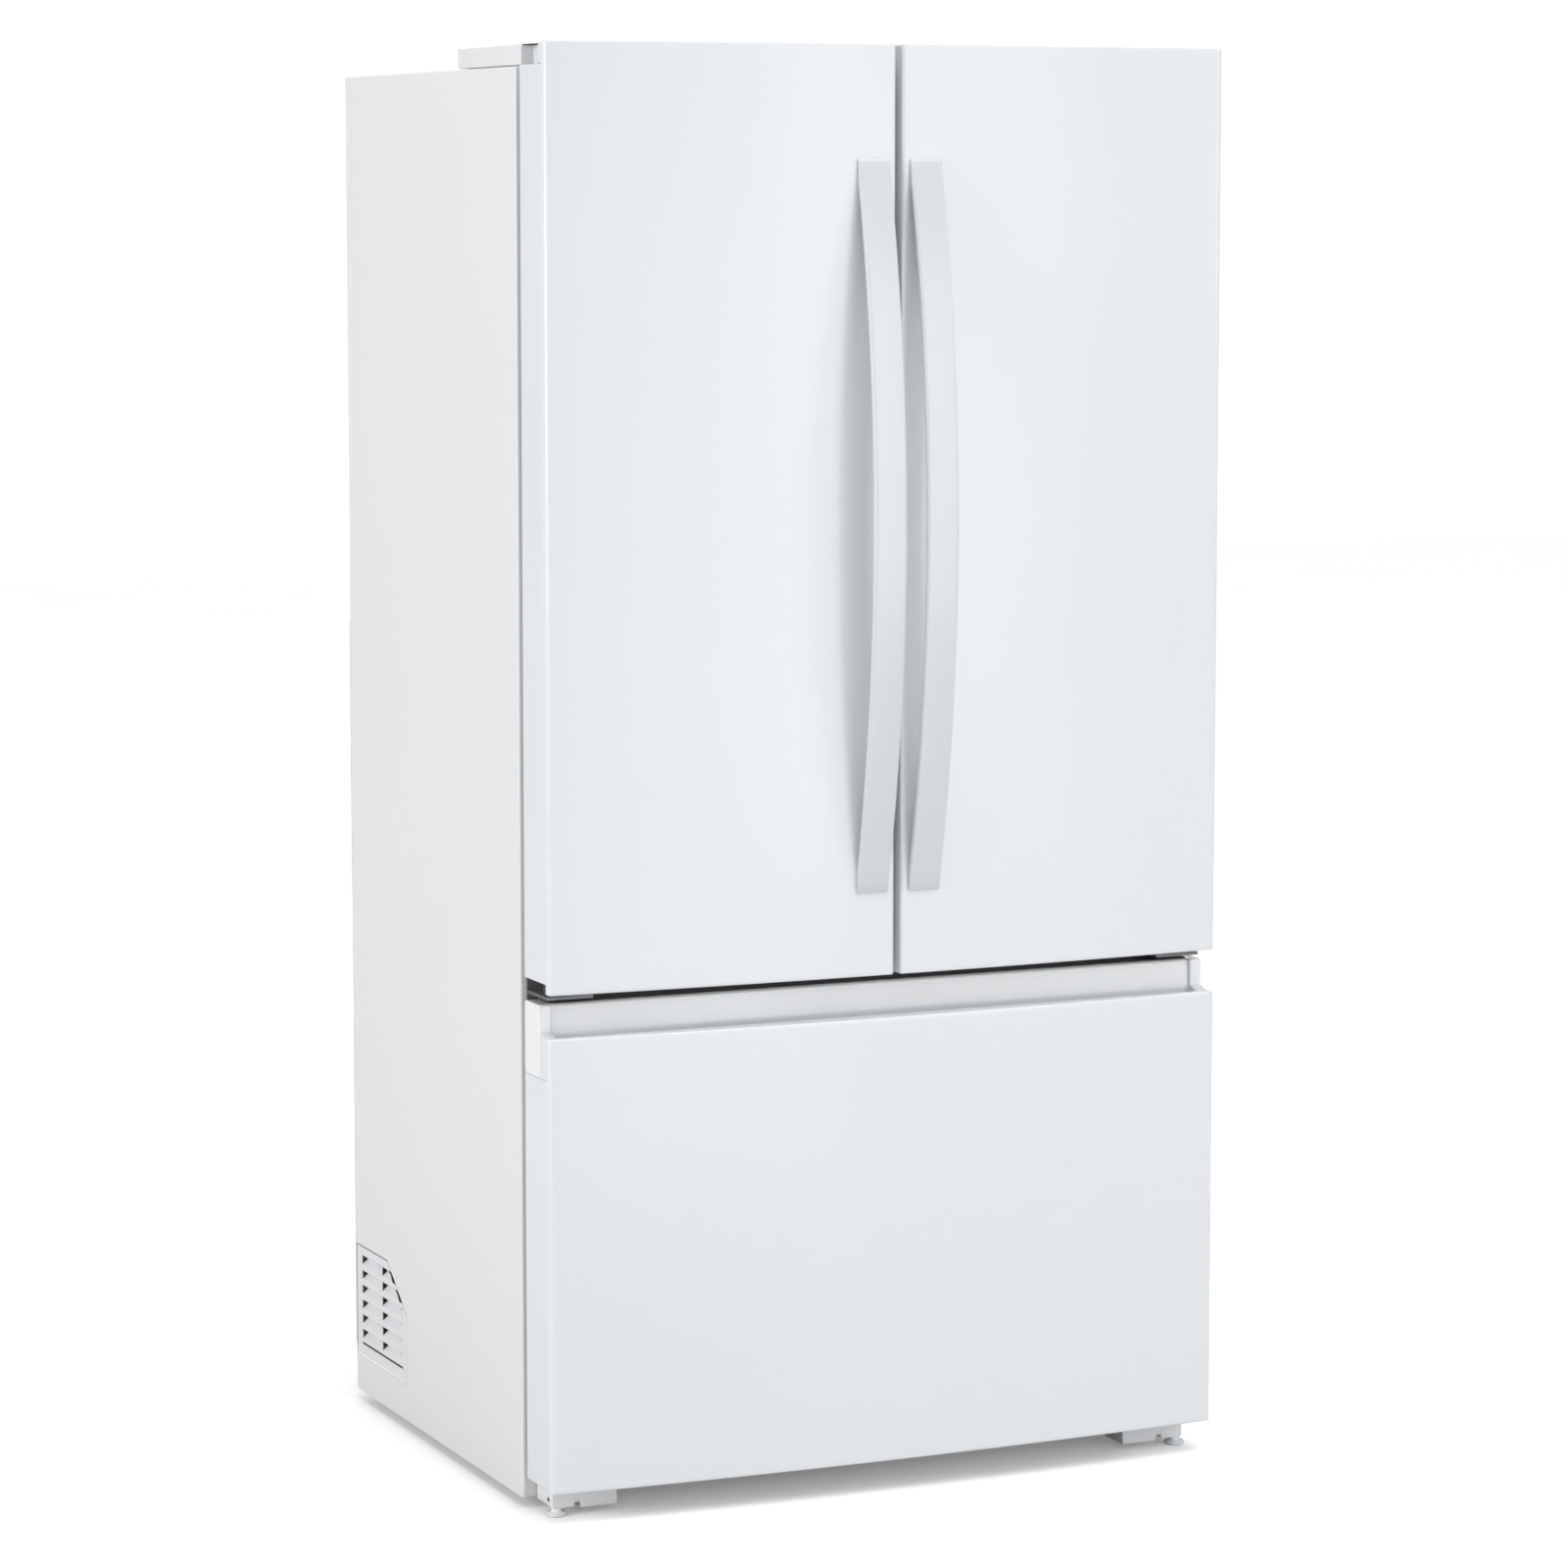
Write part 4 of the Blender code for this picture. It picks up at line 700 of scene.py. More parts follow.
def ventParts():
    # a flush plate of bars round two columns of grooves, cut off along a diagonal at its upper front
    (frontA, frontB), (rearA, rearB) = ventShape["columns"]
    shrink = ventShape["shrink"]
    y0, y1, z0, z1 = ventLow[1] + shrink, ventHigh[1] - shrink, ventLow[2] + shrink, ventHigh[2] - shrink
    bottom, pitch, cell = ventLow[2] + ventShape["bottom"], ventShape["pitch"], ventShape["cell"]
    top = bottom + (ventShape["rows"] - 1) * pitch + cell
    outside = ventHigh[0] - ventShape["recess"]
    inside = outside - ventShape["plate"]
    down, slope = ventCut["down"], ventCut["down"] / ventCut["across"]
    line = ventShape["line"]

    def diagonalZ(y):
        return z1 - down + (y - y0) * slope

    def diagonalY(z):
        return y0 + (z - z1 + down) / slope

    y2, y3, y4, y5 = (y0 + place for place in (frontA, frontB, rearA, rearB))
    cutTop = diagonalY(top)
    margin, seam = ventShape["margin"], ventShape["seam"]
    under = bottom - line - margin  # the upper edge of the lowest bar, and the lower edge of the slot
    above, left, right = under + 2 * seam, y2 + seam, y5 - seam
    bars = [
        [(y0, z0), (y1, z0), (y1, under), (y0, under)],
        [(y0, above), (y2, above), (y2, diagonalZ(y2) - 2 * seam), (y0, diagonalZ(y0))],
        [(left, bottom - margin), (right, bottom - margin), (right, bottom), (left, bottom)],
        [(y5, above), (y1, above), (y1, z1), (y5, z1)],
        [(y3, bottom + seam), (y4, bottom + seam), (y4, top), (y3, top)],
        [(cutTop, top + seam), (right, top + seam), (right, z1), (diagonalY(z1), z1)],
    ]
    grooves = []
    for start, end in ((y2, y3), (y4, y5)):
        for row in range(ventShape["rows"]):
            low = bottom + row * pitch
            high = low + cell
            begins = [start, start]
            if start == y2:
                begins = [max(start, diagonalY(z + ventShape["clip"])) for z in (low, high)]
            if begins[0] > end - 0.012:
                continue
            begins[1] = min(begins[1], end - 0.006)
            grooves.append(groovePart(begins, end, low))
            upper = high + pitch - cell
            if row == ventShape["rows"] - 1:
                continue
            barStart = [max(start, diagonalY(z)) if start == y2 else start for z in (high, upper)]
            if barStart[1] < end - 0.004:
                bars.append([(barStart[0], high), (end - seam, high), (end - seam, upper),
                             (barStart[1], upper)])
    plates = [prismPart(np.array(bar), inside, outside, 0.0003, "x", holdIn=0.0002, holdUp=0.0002)
              for bar in bars]
    # dark strips behind the slot under the grooves and behind the gap along the diagonal: painted shade where
    # one looks into the vent
    deep, thick = inside - ventShape["shadeBack"], ventShape["shadeThick"]
    across = np.array([slope, -1.0]) / math.hypot(slope, 1.0) * ventShape["shadeHalf"]
    ends = np.array([(y2 + 0.004, diagonalZ(y2 + 0.004)), (diagonalY(z1) - 0.002, z1 - 0.002)])
    strip = np.concatenate([ends + across, (ends - across)[::-1]])
    shades = [slab((deep - thick, y2, bottom - line - 0.0070), (deep, y5, bottom - 0.0010), 0.0005, 0.0001,
                   "x"),
              prismPart(strip, deep - thick, deep, 0.0001, "x")]
    return plates, grooves, shades


plates, blades, shades = ventParts()
for word, side in sides:
    piece(word + "_vent_plate", [mirrored(part, side) for part in plates], "trimPlastic", "cabinet",
          stands=[word + "_side_vent"])
    piece(word + "_vent_blades", [mirrored(part, side) for part in blades], "trimPlastic", "cabinet")
    # the vent's dark strips are painted shade
    piece(word + "_vent_painted_shade", [mirrored(part, side) for part in shades], "darkPlasticAndShade", "cabinet")

coverShape = {"corner": 0.0040, "edge": 0.0025, "nose": 0.0135, "wedgeStart": 0.0060, "wedgeRise": 0.42,
              "neck": 0.0165, "plug": (0.390, -0.060)}


def hingeCoverPart():
    # the cap's plan: a box on the cabinet, a narrower neck over the door and a round nose about the pin
    low, high = span("right_hinge_cover")
    pin, nose = hingePin, coverShape["nose"]
    neck = coverShape["neck"]
    angle = np.radians(np.linspace(-78, 78, 9))
    arc = pin + nose * np.stack([np.cos(angle), np.sin(angle)], 1)
    base = np.concatenate([
        [(low[0], shellLow[1] + 0.001), (low[0] + 0.004, shellLow[1] - 0.003), (low[0] + 0.004, low[1]),
         (pin[0] - 0.002, low[1])],
        arc,
        [(high[0] - neck, pin[1] + 0.0175), (high[0] - neck, shellLow[1] - 0.001),
         (high[0], shellLow[1] + 0.001), (high[0], high[1]), (low[0], high[1])],
    ])
    radii = [0.0015, 0.0010, 0.0050, 0.0010] + [0.0010] * len(arc) + [0.0015, 0.0015, 0.0015, 0.0060, 0.0060]
    outline = roundCorners(base, radii)
    bottom = low[2] + 0.0012
    inset, place = rim(bottom, high[2], coverShape["edge"], holdIn=0.0002, holdUp=0.003)
    inset[:7] = np.minimum(inset[:7], 0.0004)
    rings = outlineLoops(outline, inset, place)
    share = np.clip((high[2] - place) / (high[2] - bottom), 0, 1)[:, None]
    rise = np.clip(pin[1] + coverShape["wedgeStart"] - rings[..., 1], 0, None) * coverShape["wedgeRise"]
    rings[..., 2] += rise * share ** 3
    return stackPart(rings)


cover = hingeCoverPart()
coverTop = span("right_hinge_cover")[1][2]
plugProfile = [(0.0048, 0.0040), (0.0048, 0.0006), (0.0040, 0.0002), (0.0012, 0.0002), (0.0010, 0.0010)]
plug = turnedPart([(radius, coverTop - depth) for radius, depth in plugProfile], coverShape["plug"], sides=24)
for word, side in sides:
    piece(word + "_hinge_cap", [mirrored(cover, side)], "trimPlastic", "cabinet",
          stands=[word + "_hinge_cover"])
    piece(word + "_hinge_cap_plug", [mirrored(plug, side)], "greyPlastic", "cabinet")
print("cabinet outside made")


# Fresh-food compartment

def flatAxes(axis):
    return [i for i in range(3) if i != "xyz".index(axis)]


def hollowPart(low, high, axis="z", openAt=1, wall=0.0022, edge=0.006, draft=0.002, lip=0.003,
               lipHeight=0.006, corner=0.016, soft=0.0008):
    # an open container: up the outside, over the lip and down the inside, as rounded rectangles whose inset
    # is lip + draft (1 - u / height), with u the distance from the closed end
    low, high = np.array(low, float), np.array(high, float)
    index = "xyz".index(axis)
    flat = flatAxes(axis)
    height = high[index] - low[index]
    t = np.linspace(0, np.pi / 2, 5)
    outerU = np.concatenate([[0.0], edge * (1 - np.cos(t)), [edge + 0.004, height - lipHeight - 0.001]])
    outerIn = np.concatenate([[edge + 0.002], edge * (1 - np.sin(t)), [0.0, 0.0]]) + lip
    outerIn += draft * (1 - outerU / height)
    lipU = height - lipHeight + np.array([0.0, 0.0, soft, lipHeight - soft, lipHeight, lipHeight,
                                          lipHeight - soft])
    lipIn = np.array([lip, min(soft, lip), 0.0, 0.0, soft, lip + wall - soft, lip + wall])
    innerU = wall + np.concatenate([[height - wall - lipHeight - 0.001, edge + 0.004],
                                    edge * (1 - np.cos(t[::-1])), [0.0]])
    innerIn = np.concatenate([[0.0, 0.0], edge * (1 - np.sin(t[::-1])), [edge + 0.002]]) + lip + wall
    innerIn += draft * (1 - innerU / height)
    inset, u = np.concatenate([outerIn, lipIn, innerIn]), np.concatenate([outerU, lipU, innerU])
    place = low[index] + u if openAt > 0 else high[index] - u
    half, centre = (high - low)[flat] / 2, (high + low)[flat] / 2
    rows = np.stack([half[0] - inset, half[1] - inset, np.maximum(corner - inset, 0.003), place], 1)
    return stackPart(roundLoops(rows, axis, centre))


def ringPart(low, high, section, corner, axis="y"):
    # a closed frame: each point (inset, place) of the section runs round a rounded rectangle
    flat = flatAxes(axis)
    low, high, section = np.array(low, float), np.array(high, float), np.array(section, float)
    half, centre = (high - low)[flat] / 2, (high + low)[flat] / 2
    inset, place = section[:, 0], section[:, 1]
    rows = np.stack([half[0] - inset, half[1] - inset, np.maximum(corner - inset, 0.0015), place], 1)
    return stackPart(roundLoops(rows, axis, centre), ringed=True)


def boxPart(low, high):
    # eight corners, for small slats that repeat
    low, high = np.array(low, float), np.array(high, float)
    ring = np.array([(0, 0), (1, 0), (1, 1), (0, 1)])
    unit = np.concatenate([np.column_stack([ring, np.zeros(4)]), np.column_stack([ring, np.ones(4)])])
    return stackPart((low + unit * (high - low)).reshape(2, 4, 3))


screwProfile = [(1.0, -0.0005), (1.0, 0.0006), (0.86, 0.0013), (0.5, 0.0017), (0.34, 0.0016), (0.26, 0.0008)]


def screwPart(centre, outward, radius=0.0038):
    # a pan head whose cross recess is a dished middle, facing forward (-1) or back (+1); each row of the
    # profile is a share of the radius and a height
    profile = [(radius * share, centre[1] + height * outward) for share, height in screwProfile]
    return turnedPart(profile, (centre[0], centre[2]), "y", sides=20)


linerShape = {"wall": 0.0018, "corner": 0.014, "edge": 0.013, "ledgeDeep": 0.0026}
low, high = span("fresh_liner")
fresh = hollowPart(low, high, "y", -1, wall=linerShape["wall"], edge=linerShape["edge"], draft=0.0,
                   lip=0.0002, lipHeight=0.004, corner=linerShape["corner"])
freshWall, freshRear = high[0] - 0.002, high[1] - 0.002
ledges = []
for word, side in sides:
    for level in ("upper", "lower"):
        shelfUnder = span(f"{word}_{level}_shelf")[0][2]
        ledge = slab((freshWall - linerShape["ledgeDeep"], -0.110, shelfUnder - 0.0105),
                     (freshWall + 0.0005, freshRear - 0.02, shelfUnder - 0.0060), 0.0015, 0.0012, "z")
        ledges.append(mirrored(ledge, side))
piece("fresh_liner_shell", [fresh] + ledges, "linerPlastic", "cabinet", stands=["fresh_liner"])

# the trims between the liners and the opening in the steel: (inner low, inner high, outer low, outer high)
# in x, z
trimShape = {"fresh_opening_trim": ((-0.4036, 0.7002), (0.4036, 1.7008), (-0.4150, 0.6938), (0.4150, 1.7150)),
             "freezer_opening_trim": ((-0.3918, 0.1122), (0.3918, 0.5998), (-0.4150, 0.1085),
                                      (0.4150, 0.6062)),
             "front": -0.2299, "rear": -0.2287}
for name in ("fresh_opening_trim", "freezer_opening_trim"):
    innerLow, innerHigh, outerLow, outerHigh = (np.array(corner) for corner in trimShape[name])
    loops = []
    for low, high, radius, places in ((outerLow, outerHigh, 0.004, ("front", "rear")),
                                      (innerLow, innerHigh, 0.012, ("rear", "front"))):
        half, centre = (high - low) / 2, (high + low) / 2
        loops.append(roundLoops([(half[0], half[1], radius, trimShape[place]) for place in places], "y",
                                centre))
    piece(name, [stackPart(np.concatenate(loops), ringed=True)], "linerPlastic", "cabinet")

ductShape = {"half": 0.075, "bottom": 1.010, "top": 1.640, "proud": 0.0120, "slotRows": 5, "slotPitch": 0.011,
             "groups": (1.075, 1.300, 1.545)}
duct = slab((-ductShape["half"], freshRear - ductShape["proud"], ductShape["bottom"]),
            (ductShape["half"], freshRear + 0.0005, ductShape["top"]), 0.010, 0.0060, "y")
slots, slats = [], []
for start in ductShape["groups"]:
    for row in range(ductShape["slotRows"]):
        z = start + row * ductShape["slotPitch"]
        front = freshRear - ductShape["proud"]
        # a dark patch under each slat: painted shade where the duct's slot opens
        slots.append(slab((-0.045, front - 0.0003, z), (0.045, front + 0.0010, z + 0.0050), 0.0022, 0.0002,
                          "y"))
        slats.append(slab((-0.047, front - 0.0018, z + 0.0048), (0.047, front + 0.0008, z + 0.0066), 0.0007,
                          0.0006, "y"))
piece("rear_air_duct", [duct] + slats, "linerPlastic", "cabinet")
# the slot patches are painted shade
piece("rear_air_slot_shade", slots, "darkPlasticAndShade", "cabinet")

trackShape = {"half": 0.0075, "proud": 0.0040, "slot": 0.0060, "pitch": 0.024, "bottom": 1.02, "top": 1.645,
              "places": (0.0900, 0.3850)}


def trackPart(x):
    # a ladder track: two uprights with rungs between them, the gaps between rungs taking the shelf hooks
    front, back = freshRear - trackShape["proud"], freshRear + 0.0002
    half, slot = trackShape["half"], trackShape["slot"] / 2
    uprights = [slab((x + a, front, trackShape["bottom"]), (x + b, back, trackShape["top"]), 0.0008, 0.0006,
                     "y")
                for a, b in ((-half, -slot), (slot, half))]
    count = int((trackShape["top"] - trackShape["bottom"]) / trackShape["pitch"])
    rungs = [boxPart((x - slot, front + 0.0004, trackShape["bottom"] + k * trackShape["pitch"]),
                     (x + slot, back, trackShape["bottom"] + k * trackShape["pitch"] + 0.009))
             for k in range(count + 1)]
    backing = boxPart((x - slot, freshRear - 0.0006, trackShape["bottom"]),
                      (x + slot, back, trackShape["top"]))
    return uprights + rungs + [backing]


tracks = [mirrored(part, side) for _, side in sides for x in trackShape["places"] for part in trackPart(x)]
piece("shelf_tracks", tracks, "trimPlastic", "cabinet")

shelfShape = {"rim": 0.0100, "above": 0.0020, "below": 0.0035, "soft": 0.0015, "corner": 0.010,
              "frontRail": 0.0170, "frontBelow": 0.0100, "bracket": 0.0022, "bracketDeep": 0.042}


def rimSection(bottom, top, width, soft):
    # the section of a shelf rim as (inset, z), round at its four corners
    corners = [(0.0, bottom), (width, bottom), (width, top), (0.0, top)]
    return roundCorners(np.array(corners), soft, steps=3)


def shelfParts(low, high, below=shelfShape["below"], frontBelow=shelfShape["frontBelow"]):
    glass = slab(low + np.array([0.006, 0.006, 0.0006]), high - np.array([0.006, 0.006, 0.0010]), 0.006,
                 0.0006)
    top, bottom = high[2] + shelfShape["above"] - 0.0015, low[2] - below + 0.001
    frameRing = ringPart(low, high, rimSection(bottom, top, shelfShape["rim"], shelfShape["soft"]),
                         shelfShape["corner"], "z")
    rail = slab((low[0] + 0.0005, low[1] - 0.0010, low[2] - frontBelow),
                (high[0] - 0.0005, low[1] + shelfShape["frontRail"], top + 0.0006), 0.0060, 0.0045, "x")
    return glass, [frameRing, rail]


def bracketPart(x, z):
    # a cantilever bracket under the glass: deep at its rear hooks, shallow at the front
    deep, front, rear = shelfShape["bracketDeep"], -0.045, freshRear - 0.0030
    outline = [(front, z - 0.0110), (rear - 0.050, z - deep), (rear, z - deep), (rear, z - 0.0045),
               (front, z - 0.0045)]
    return prismPart(roundCorners(outline, (0.003, 0.010, 0.003, 0.001, 0.001)),
                     x - shelfShape["bracket"] / 2,
                     x + shelfShape["bracket"] / 2, 0.0005, "x", holdIn=0.0002, holdUp=0.0002)


for word, side in sides:
    for level in ("upper", "lower"):
        low, high = span(f"{word}_{level}_shelf")
        if side < 0:
            low, high = np.array([-high[0], low[1], low[2]]), np.array([-low[0], high[1], high[2]])
        glass, frameParts = shelfParts(low, high)
        brackets = [bracketPart(x, low[2]) for x in trackShape["places"]]
        name = f"{word}_{level}_shelf"
        piece(name + "_glass", [mirrored(glass, side)], "shelfGlass", "cabinet", stands=[name])
        piece(name + "_frame", [mirrored(part, side) for part in frameParts], "trimPlastic", "cabinet")
        piece(name + "_brackets", [mirrored(part, side) for part in brackets], "zincSteel", "cabinet")

low, high = span("crisper_cover")
glass, frameParts = shelfParts(low, high, below=0.0065, frontBelow=0.0060)
post = slab((-0.0032, -0.0700, 0.7035), (0.0032, 0.2700, low[2] - 0.003), 0.0012, 0.0010, "x")
sliders = [mirrored(slab((0.150, low[1] - 0.0032, low[2] - 0.0052),
                         (0.250, low[1] - 0.0004, high[2] - 0.0028),
                         0.0020, 0.0010, "y"), side) for _, side in sides]
knobs = [mirrored(slab((0.185, low[1] - 0.0062, low[2] - 0.0045), (0.203, low[1] - 0.0030, high[2] - 0.0033),
                       0.0020, 0.0012, "y"), side) for _, side in sides]
piece("crisper_cover_glass", [glass], "shelfGlass", "cabinet", stands=["crisper_cover"])
piece("crisper_cover_frame", frameParts + [post], "trimPlastic", "cabinet")
piece("humidity_slots", sliders, "greyPlastic", "cabinet")
piece("humidity_sliders", knobs, "trimPlastic", "cabinet")

crisperShape = {"wall": 0.0024, "edge": 0.012, "draft": 0.008, "lip": 0.0035, "lipHeight": 0.007,
                "corner": 0.020, "grip": 0.040, "gripProud": 0.0110}
for word, side in sides:
    low, high = span(word + "_crisper")
    tray = hollowPart(low, high, **{key: crisperShape[key] for key in
                                    ("wall", "edge", "draft", "lip", "lipHeight", "corner")})
    gripLow = (low[0] + 0.004, low[1] - crisperShape["gripProud"], high[2] - crisperShape["grip"])
    grip = slab(gripLow, (high[0] - 0.004, low[1] + 0.0005, high[2] - 0.0004), 0.0050, 0.0042, "x")
    lipUnder = slab((low[0] + 0.030, low[1] - crisperShape["gripProud"] - 0.0015, gripLow[2] - 0.0030),
                    (high[0] - 0.030, low[1] - crisperShape["gripProud"] + 0.0035, gripLow[2] + 0.0080),
                    0.0024, 0.0030, "x")
    body = word + "_crisper_body"
    piece(word + "_crisper_tray", [tray], "clearPlastic", body, stands=[word + "_crisper"])
    piece(word + "_crisper_grip", [grip, lipUnder], "trimPlastic", body)

low, high = span("control_panel")
display = slab((-0.1250, -0.0620, low[2] - 0.0006), (0.1250, -0.0400, low[2] + 0.0010), 0.0040, 0.0004, "z")
pads = [slab((x - 0.0060, -0.0550, low[2] - 0.0010), (x + 0.0060, -0.0470, low[2] - 0.0002), 0.0020, 0.0003,
             "z")
        for x in (-0.10, -0.06, -0.02, 0.02, 0.06, 0.10)]
piece("control_display", [display], "darkPlasticAndShade", "cabinet")
piece("control_pads", pads, "frostPlastic", "cabinet")
for word in ("fresh", "freezer"):
    low, high = span(word + "_temp_button")
    cap = slab(low + 0.0002, high - 0.0002, 0.0040, 0.0014, "z")
    dish = slab(low + np.array([0.009, 0.004, -0.0002]),
                (high[0] - 0.009, high[1] - 0.004, low[2] + 0.0012), 0.0030, 0.0003, "z")
    piece(word + "_button_cap", [cap, dish], "greyPlastic", word + "_button", stands=[word + "_temp_button"])

low, high = span("light_lens")
ribsX = np.linspace(low[0] + 0.012, high[0] - 0.012, 22)
ribs = [slab((x - 0.0030, low[1] + 0.008, low[2] - 0.0006), (x + 0.0030, high[1] - 0.008, low[2] + 0.0015),
             0.0020, 0.0010, "y") for x in ribsX]
lensBody = slab(low, high, 0.012, 0.0040, "z")
lensFrame = ringPart(low - 0.006, high + np.array([0.006, 0.006, 0.0]),
                     rimSection(high[2] - 0.0050, high[2], 0.012, 0.0015), 0.016, "z")
piece("light_lens_body", [lensBody] + ribs, "lampPlastic", "cabinet", stands=["light_lens"])
piece("light_lens_frame", [lensFrame], "trimPlastic", "cabinet")
print("fresh compartment made")


# Doors, inside

sealSection = np.array([
    (0.0022, -0.2442), (0.0128, -0.2442), (0.0126, -0.2426), (0.0098, -0.2408), (0.0122, -0.2392),
    (0.0145, -0.2368), (0.0150, -0.2344), (0.0144, -0.2324), (0.0124, -0.2318), (0.0026, -0.2318),
    (0.0006, -0.2324), (0.0000, -0.2344), (0.0005, -0.2368), (0.0028, -0.2392), (0.0052, -0.2408),
    (0.0024, -0.2426),
])
for name, body in (("left_door_gasket", "left_door"), ("right_door_gasket", "right_door"),
                   ("freezer_gasket", "freezer_drawer")):
    low, high = span(name)
    piece(name + "_seal", [ringPart(low, high, sealSection, 0.0060, "y")], "sealRubberAndShade", body,
          stands=[name], sharp=50)

dikeShape = {"low": (0.0550, 0.7120), "high": (0.3980, 1.6900), "wellLow": (0.0740, 0.7280),
             "wellHigh": (0.3790, 1.6740),
             "top": -0.1900, "fillet": 0.0060, "lean": 0.0030, "round": 0.0075, "corner": 0.022,
             "plate": -0.2445}


def dikePart():
    # one moulded wall round the well: out from the plate on a fillet, up a leaning side, over a round crest
    # and down the inner side to the well's floor
    low, high = np.array(dikeShape["low"]), np.array(dikeShape["high"])
    wellLow = np.array(dikeShape["wellLow"])
    half, centre = (high - low) / 2, (high + low) / 2
    across = wellLow[0] - low[0]
    bottom, top = dikeShape["plate"] + 0.0001, dikeShape["top"]
    t = np.linspace(0, np.pi / 2, 5)
    fillet, lean, soft = dikeShape["fillet"], dikeShape["lean"], dikeShape["round"]
    insetOut = np.concatenate([-fillet * (1 - np.sin(t)), [0.0, lean], lean + soft * (1 - np.cos(t[1:]))])
    placeOut = np.concatenate([bottom + fillet * (1 - np.cos(t)), [bottom + fillet + 0.004, top - soft],
                               top - soft * (1 - np.sin(t[1:]))])
    insetIn = across + np.concatenate([-lean - soft * (1 - np.sin(t)), [-lean * 0.2],
                                       fillet * (1 - np.cos(t)), [fillet + 0.004]])
    placeIn = np.concatenate([top - soft * (1 - np.cos(t)), [bottom + fillet + 0.004],
                              bottom + fillet * (1 - np.sin(t)), [bottom]])
    inset, place = np.concatenate([insetOut, insetIn]), np.concatenate([placeOut, placeIn])
    rows = np.stack([half[0] - inset, half[1] - inset, np.maximum(dikeShape["corner"] - inset, 0.006),
                     place], 1)
    return stackPart(roundLoops(rows, "y", centre, steps=7), ringed=True)


binShape = {"wall": 0.0026, "edge": 0.008, "draft": 0.004, "lip": 0.0025, "lipHeight": 0.006, "corner": 0.014,
            "band": 0.016}
dike = dikePart()
for word, side in sides:
    body = word + "_door"
    low, high = span(word + "_door_liner")
    plate = slab((low[0], low[1], low[2]), (high[0], dikeShape["plate"], high[2]), 0.0080, 0.0008, "y")
    lugs = []
    for level in ("upper", "lower"):
        binTop = span(f"{word}_door_{level}_bin")[1][2]
        for x in (dikeShape["wellLow"][0], dikeShape["wellHigh"][0]):
            lugs.append(slab((x - 0.0015, -0.2300, binTop - 0.045), (x + 0.0015, -0.2120, binTop - 0.020),
                             0.004, 0.0008, "x"))
    linerParts = [plate] + [mirrored(part, side) for part in [dike] + lugs]
    piece(word + "_door_inner_liner", linerParts, "linerPlastic", body, stands=[word + "_door_liner"])
    for level in ("upper", "lower"):
        name = f"{word}_door_{level}_bin"
        low, high = span(name)
        tray = hollowPart(low, high, **{key: binShape[key] for key in
                                        ("wall", "edge", "draft", "lip", "lipHeight", "corner")})
        band = ringPart(low - np.array([0.0004, 0.0, 0.0]), high + np.array([0.0004, 0.0006, 0.0]),
                        rimSection(high[2] - binShape["band"], high[2] + 0.0012, 0.0034, 0.0010), 0.0150, "z")
        piece(name + "_tray", [tray], "clearPlastic", body, stands=[name])
        piece(name + "_band", [band], "trimPlastic", body)

low, high = span("flipper_mullion")
barBody = slab(low, high, 0.0045, 0.0030, "z")
strip = slab((low[0] + 0.005, high[1] - 0.0012, low[2] + 0.02),
             (high[0] - 0.005, high[1] + 0.0003, high[2] - 0.02), 0.002, 0.0003, "y")
face = slab((low[0] + 0.003, low[1] - 0.0002, low[2] + 0.004),
            (high[0] - 0.003, low[1] + 0.0010, high[2] - 0.004), 0.002, 0.0003, "y")
knuckles = [turnedPart([(0.0030, z), (0.0046, z + 0.0004), (0.0046, z + 0.0296), (0.0030, z + 0.0300)],
                       (low[0] + 0.0045, (low[1] + high[1]) / 2), sides=20) for z in (0.780, 1.185, 1.590)]
piece("mullion_bar", [barBody, strip] + knuckles, "greyPlastic", "mullion", stands=["flipper_mullion"])
piece("mullion_face", [face], "sealRubberAndShade", "mullion")
print("door insides made")


# Freezer

low, high = span("freezer_front_liner")
plate = slab((low[0], low[1], low[2]), (high[0], dikeShape["plate"], high[2]), 0.0080, 0.0008, "y")
raisedLow, raisedHigh = (-0.3860, -0.2460, 0.1200), (0.3860, high[1], 0.5920)
raised = slab(raisedLow, raisedHigh, 0.024, 0.0090, "y", holdUp=0.002)
ribs = [slab((x - 0.0060, high[1] - 0.0030, 0.160), (x + 0.0060, high[1] + 0.0022, 0.552), 0.0055, 0.0024,
             "y")
        for x in np.linspace(-0.30, 0.30, 7)]
piece("drawer_inner_liner", [plate, raised] + ribs, "linerPlastic", "freezer_drawer",
      stands=["freezer_front_liner"])

basketShape = {"wall": 0.0026, "edge": 0.014, "draft": 0.010, "lip": 0.006, "lipHeight": 0.012,
               "corner": 0.026}
low, high = span("freezer_basket")
basket = hollowPart(low, high, **basketShape)
slatX = np.linspace(low[0] + 0.04, high[0] - 0.04, 27)
bars = []
for y, lean in ((low[1], 1), (high[1], -1)):
    front, rear = sorted((y, y + lean * 0.0100))
    bars += [slab((x - 0.0022, front, low[2] + 0.024), (x + 0.0022, rear, high[2] - 0.013), 0.0020, 0.0016)
             for x in slatX]
piece("freezer_basket_body", [basket] + bars, "trimPlastic", "freezer_drawer", stands=["freezer_basket"])

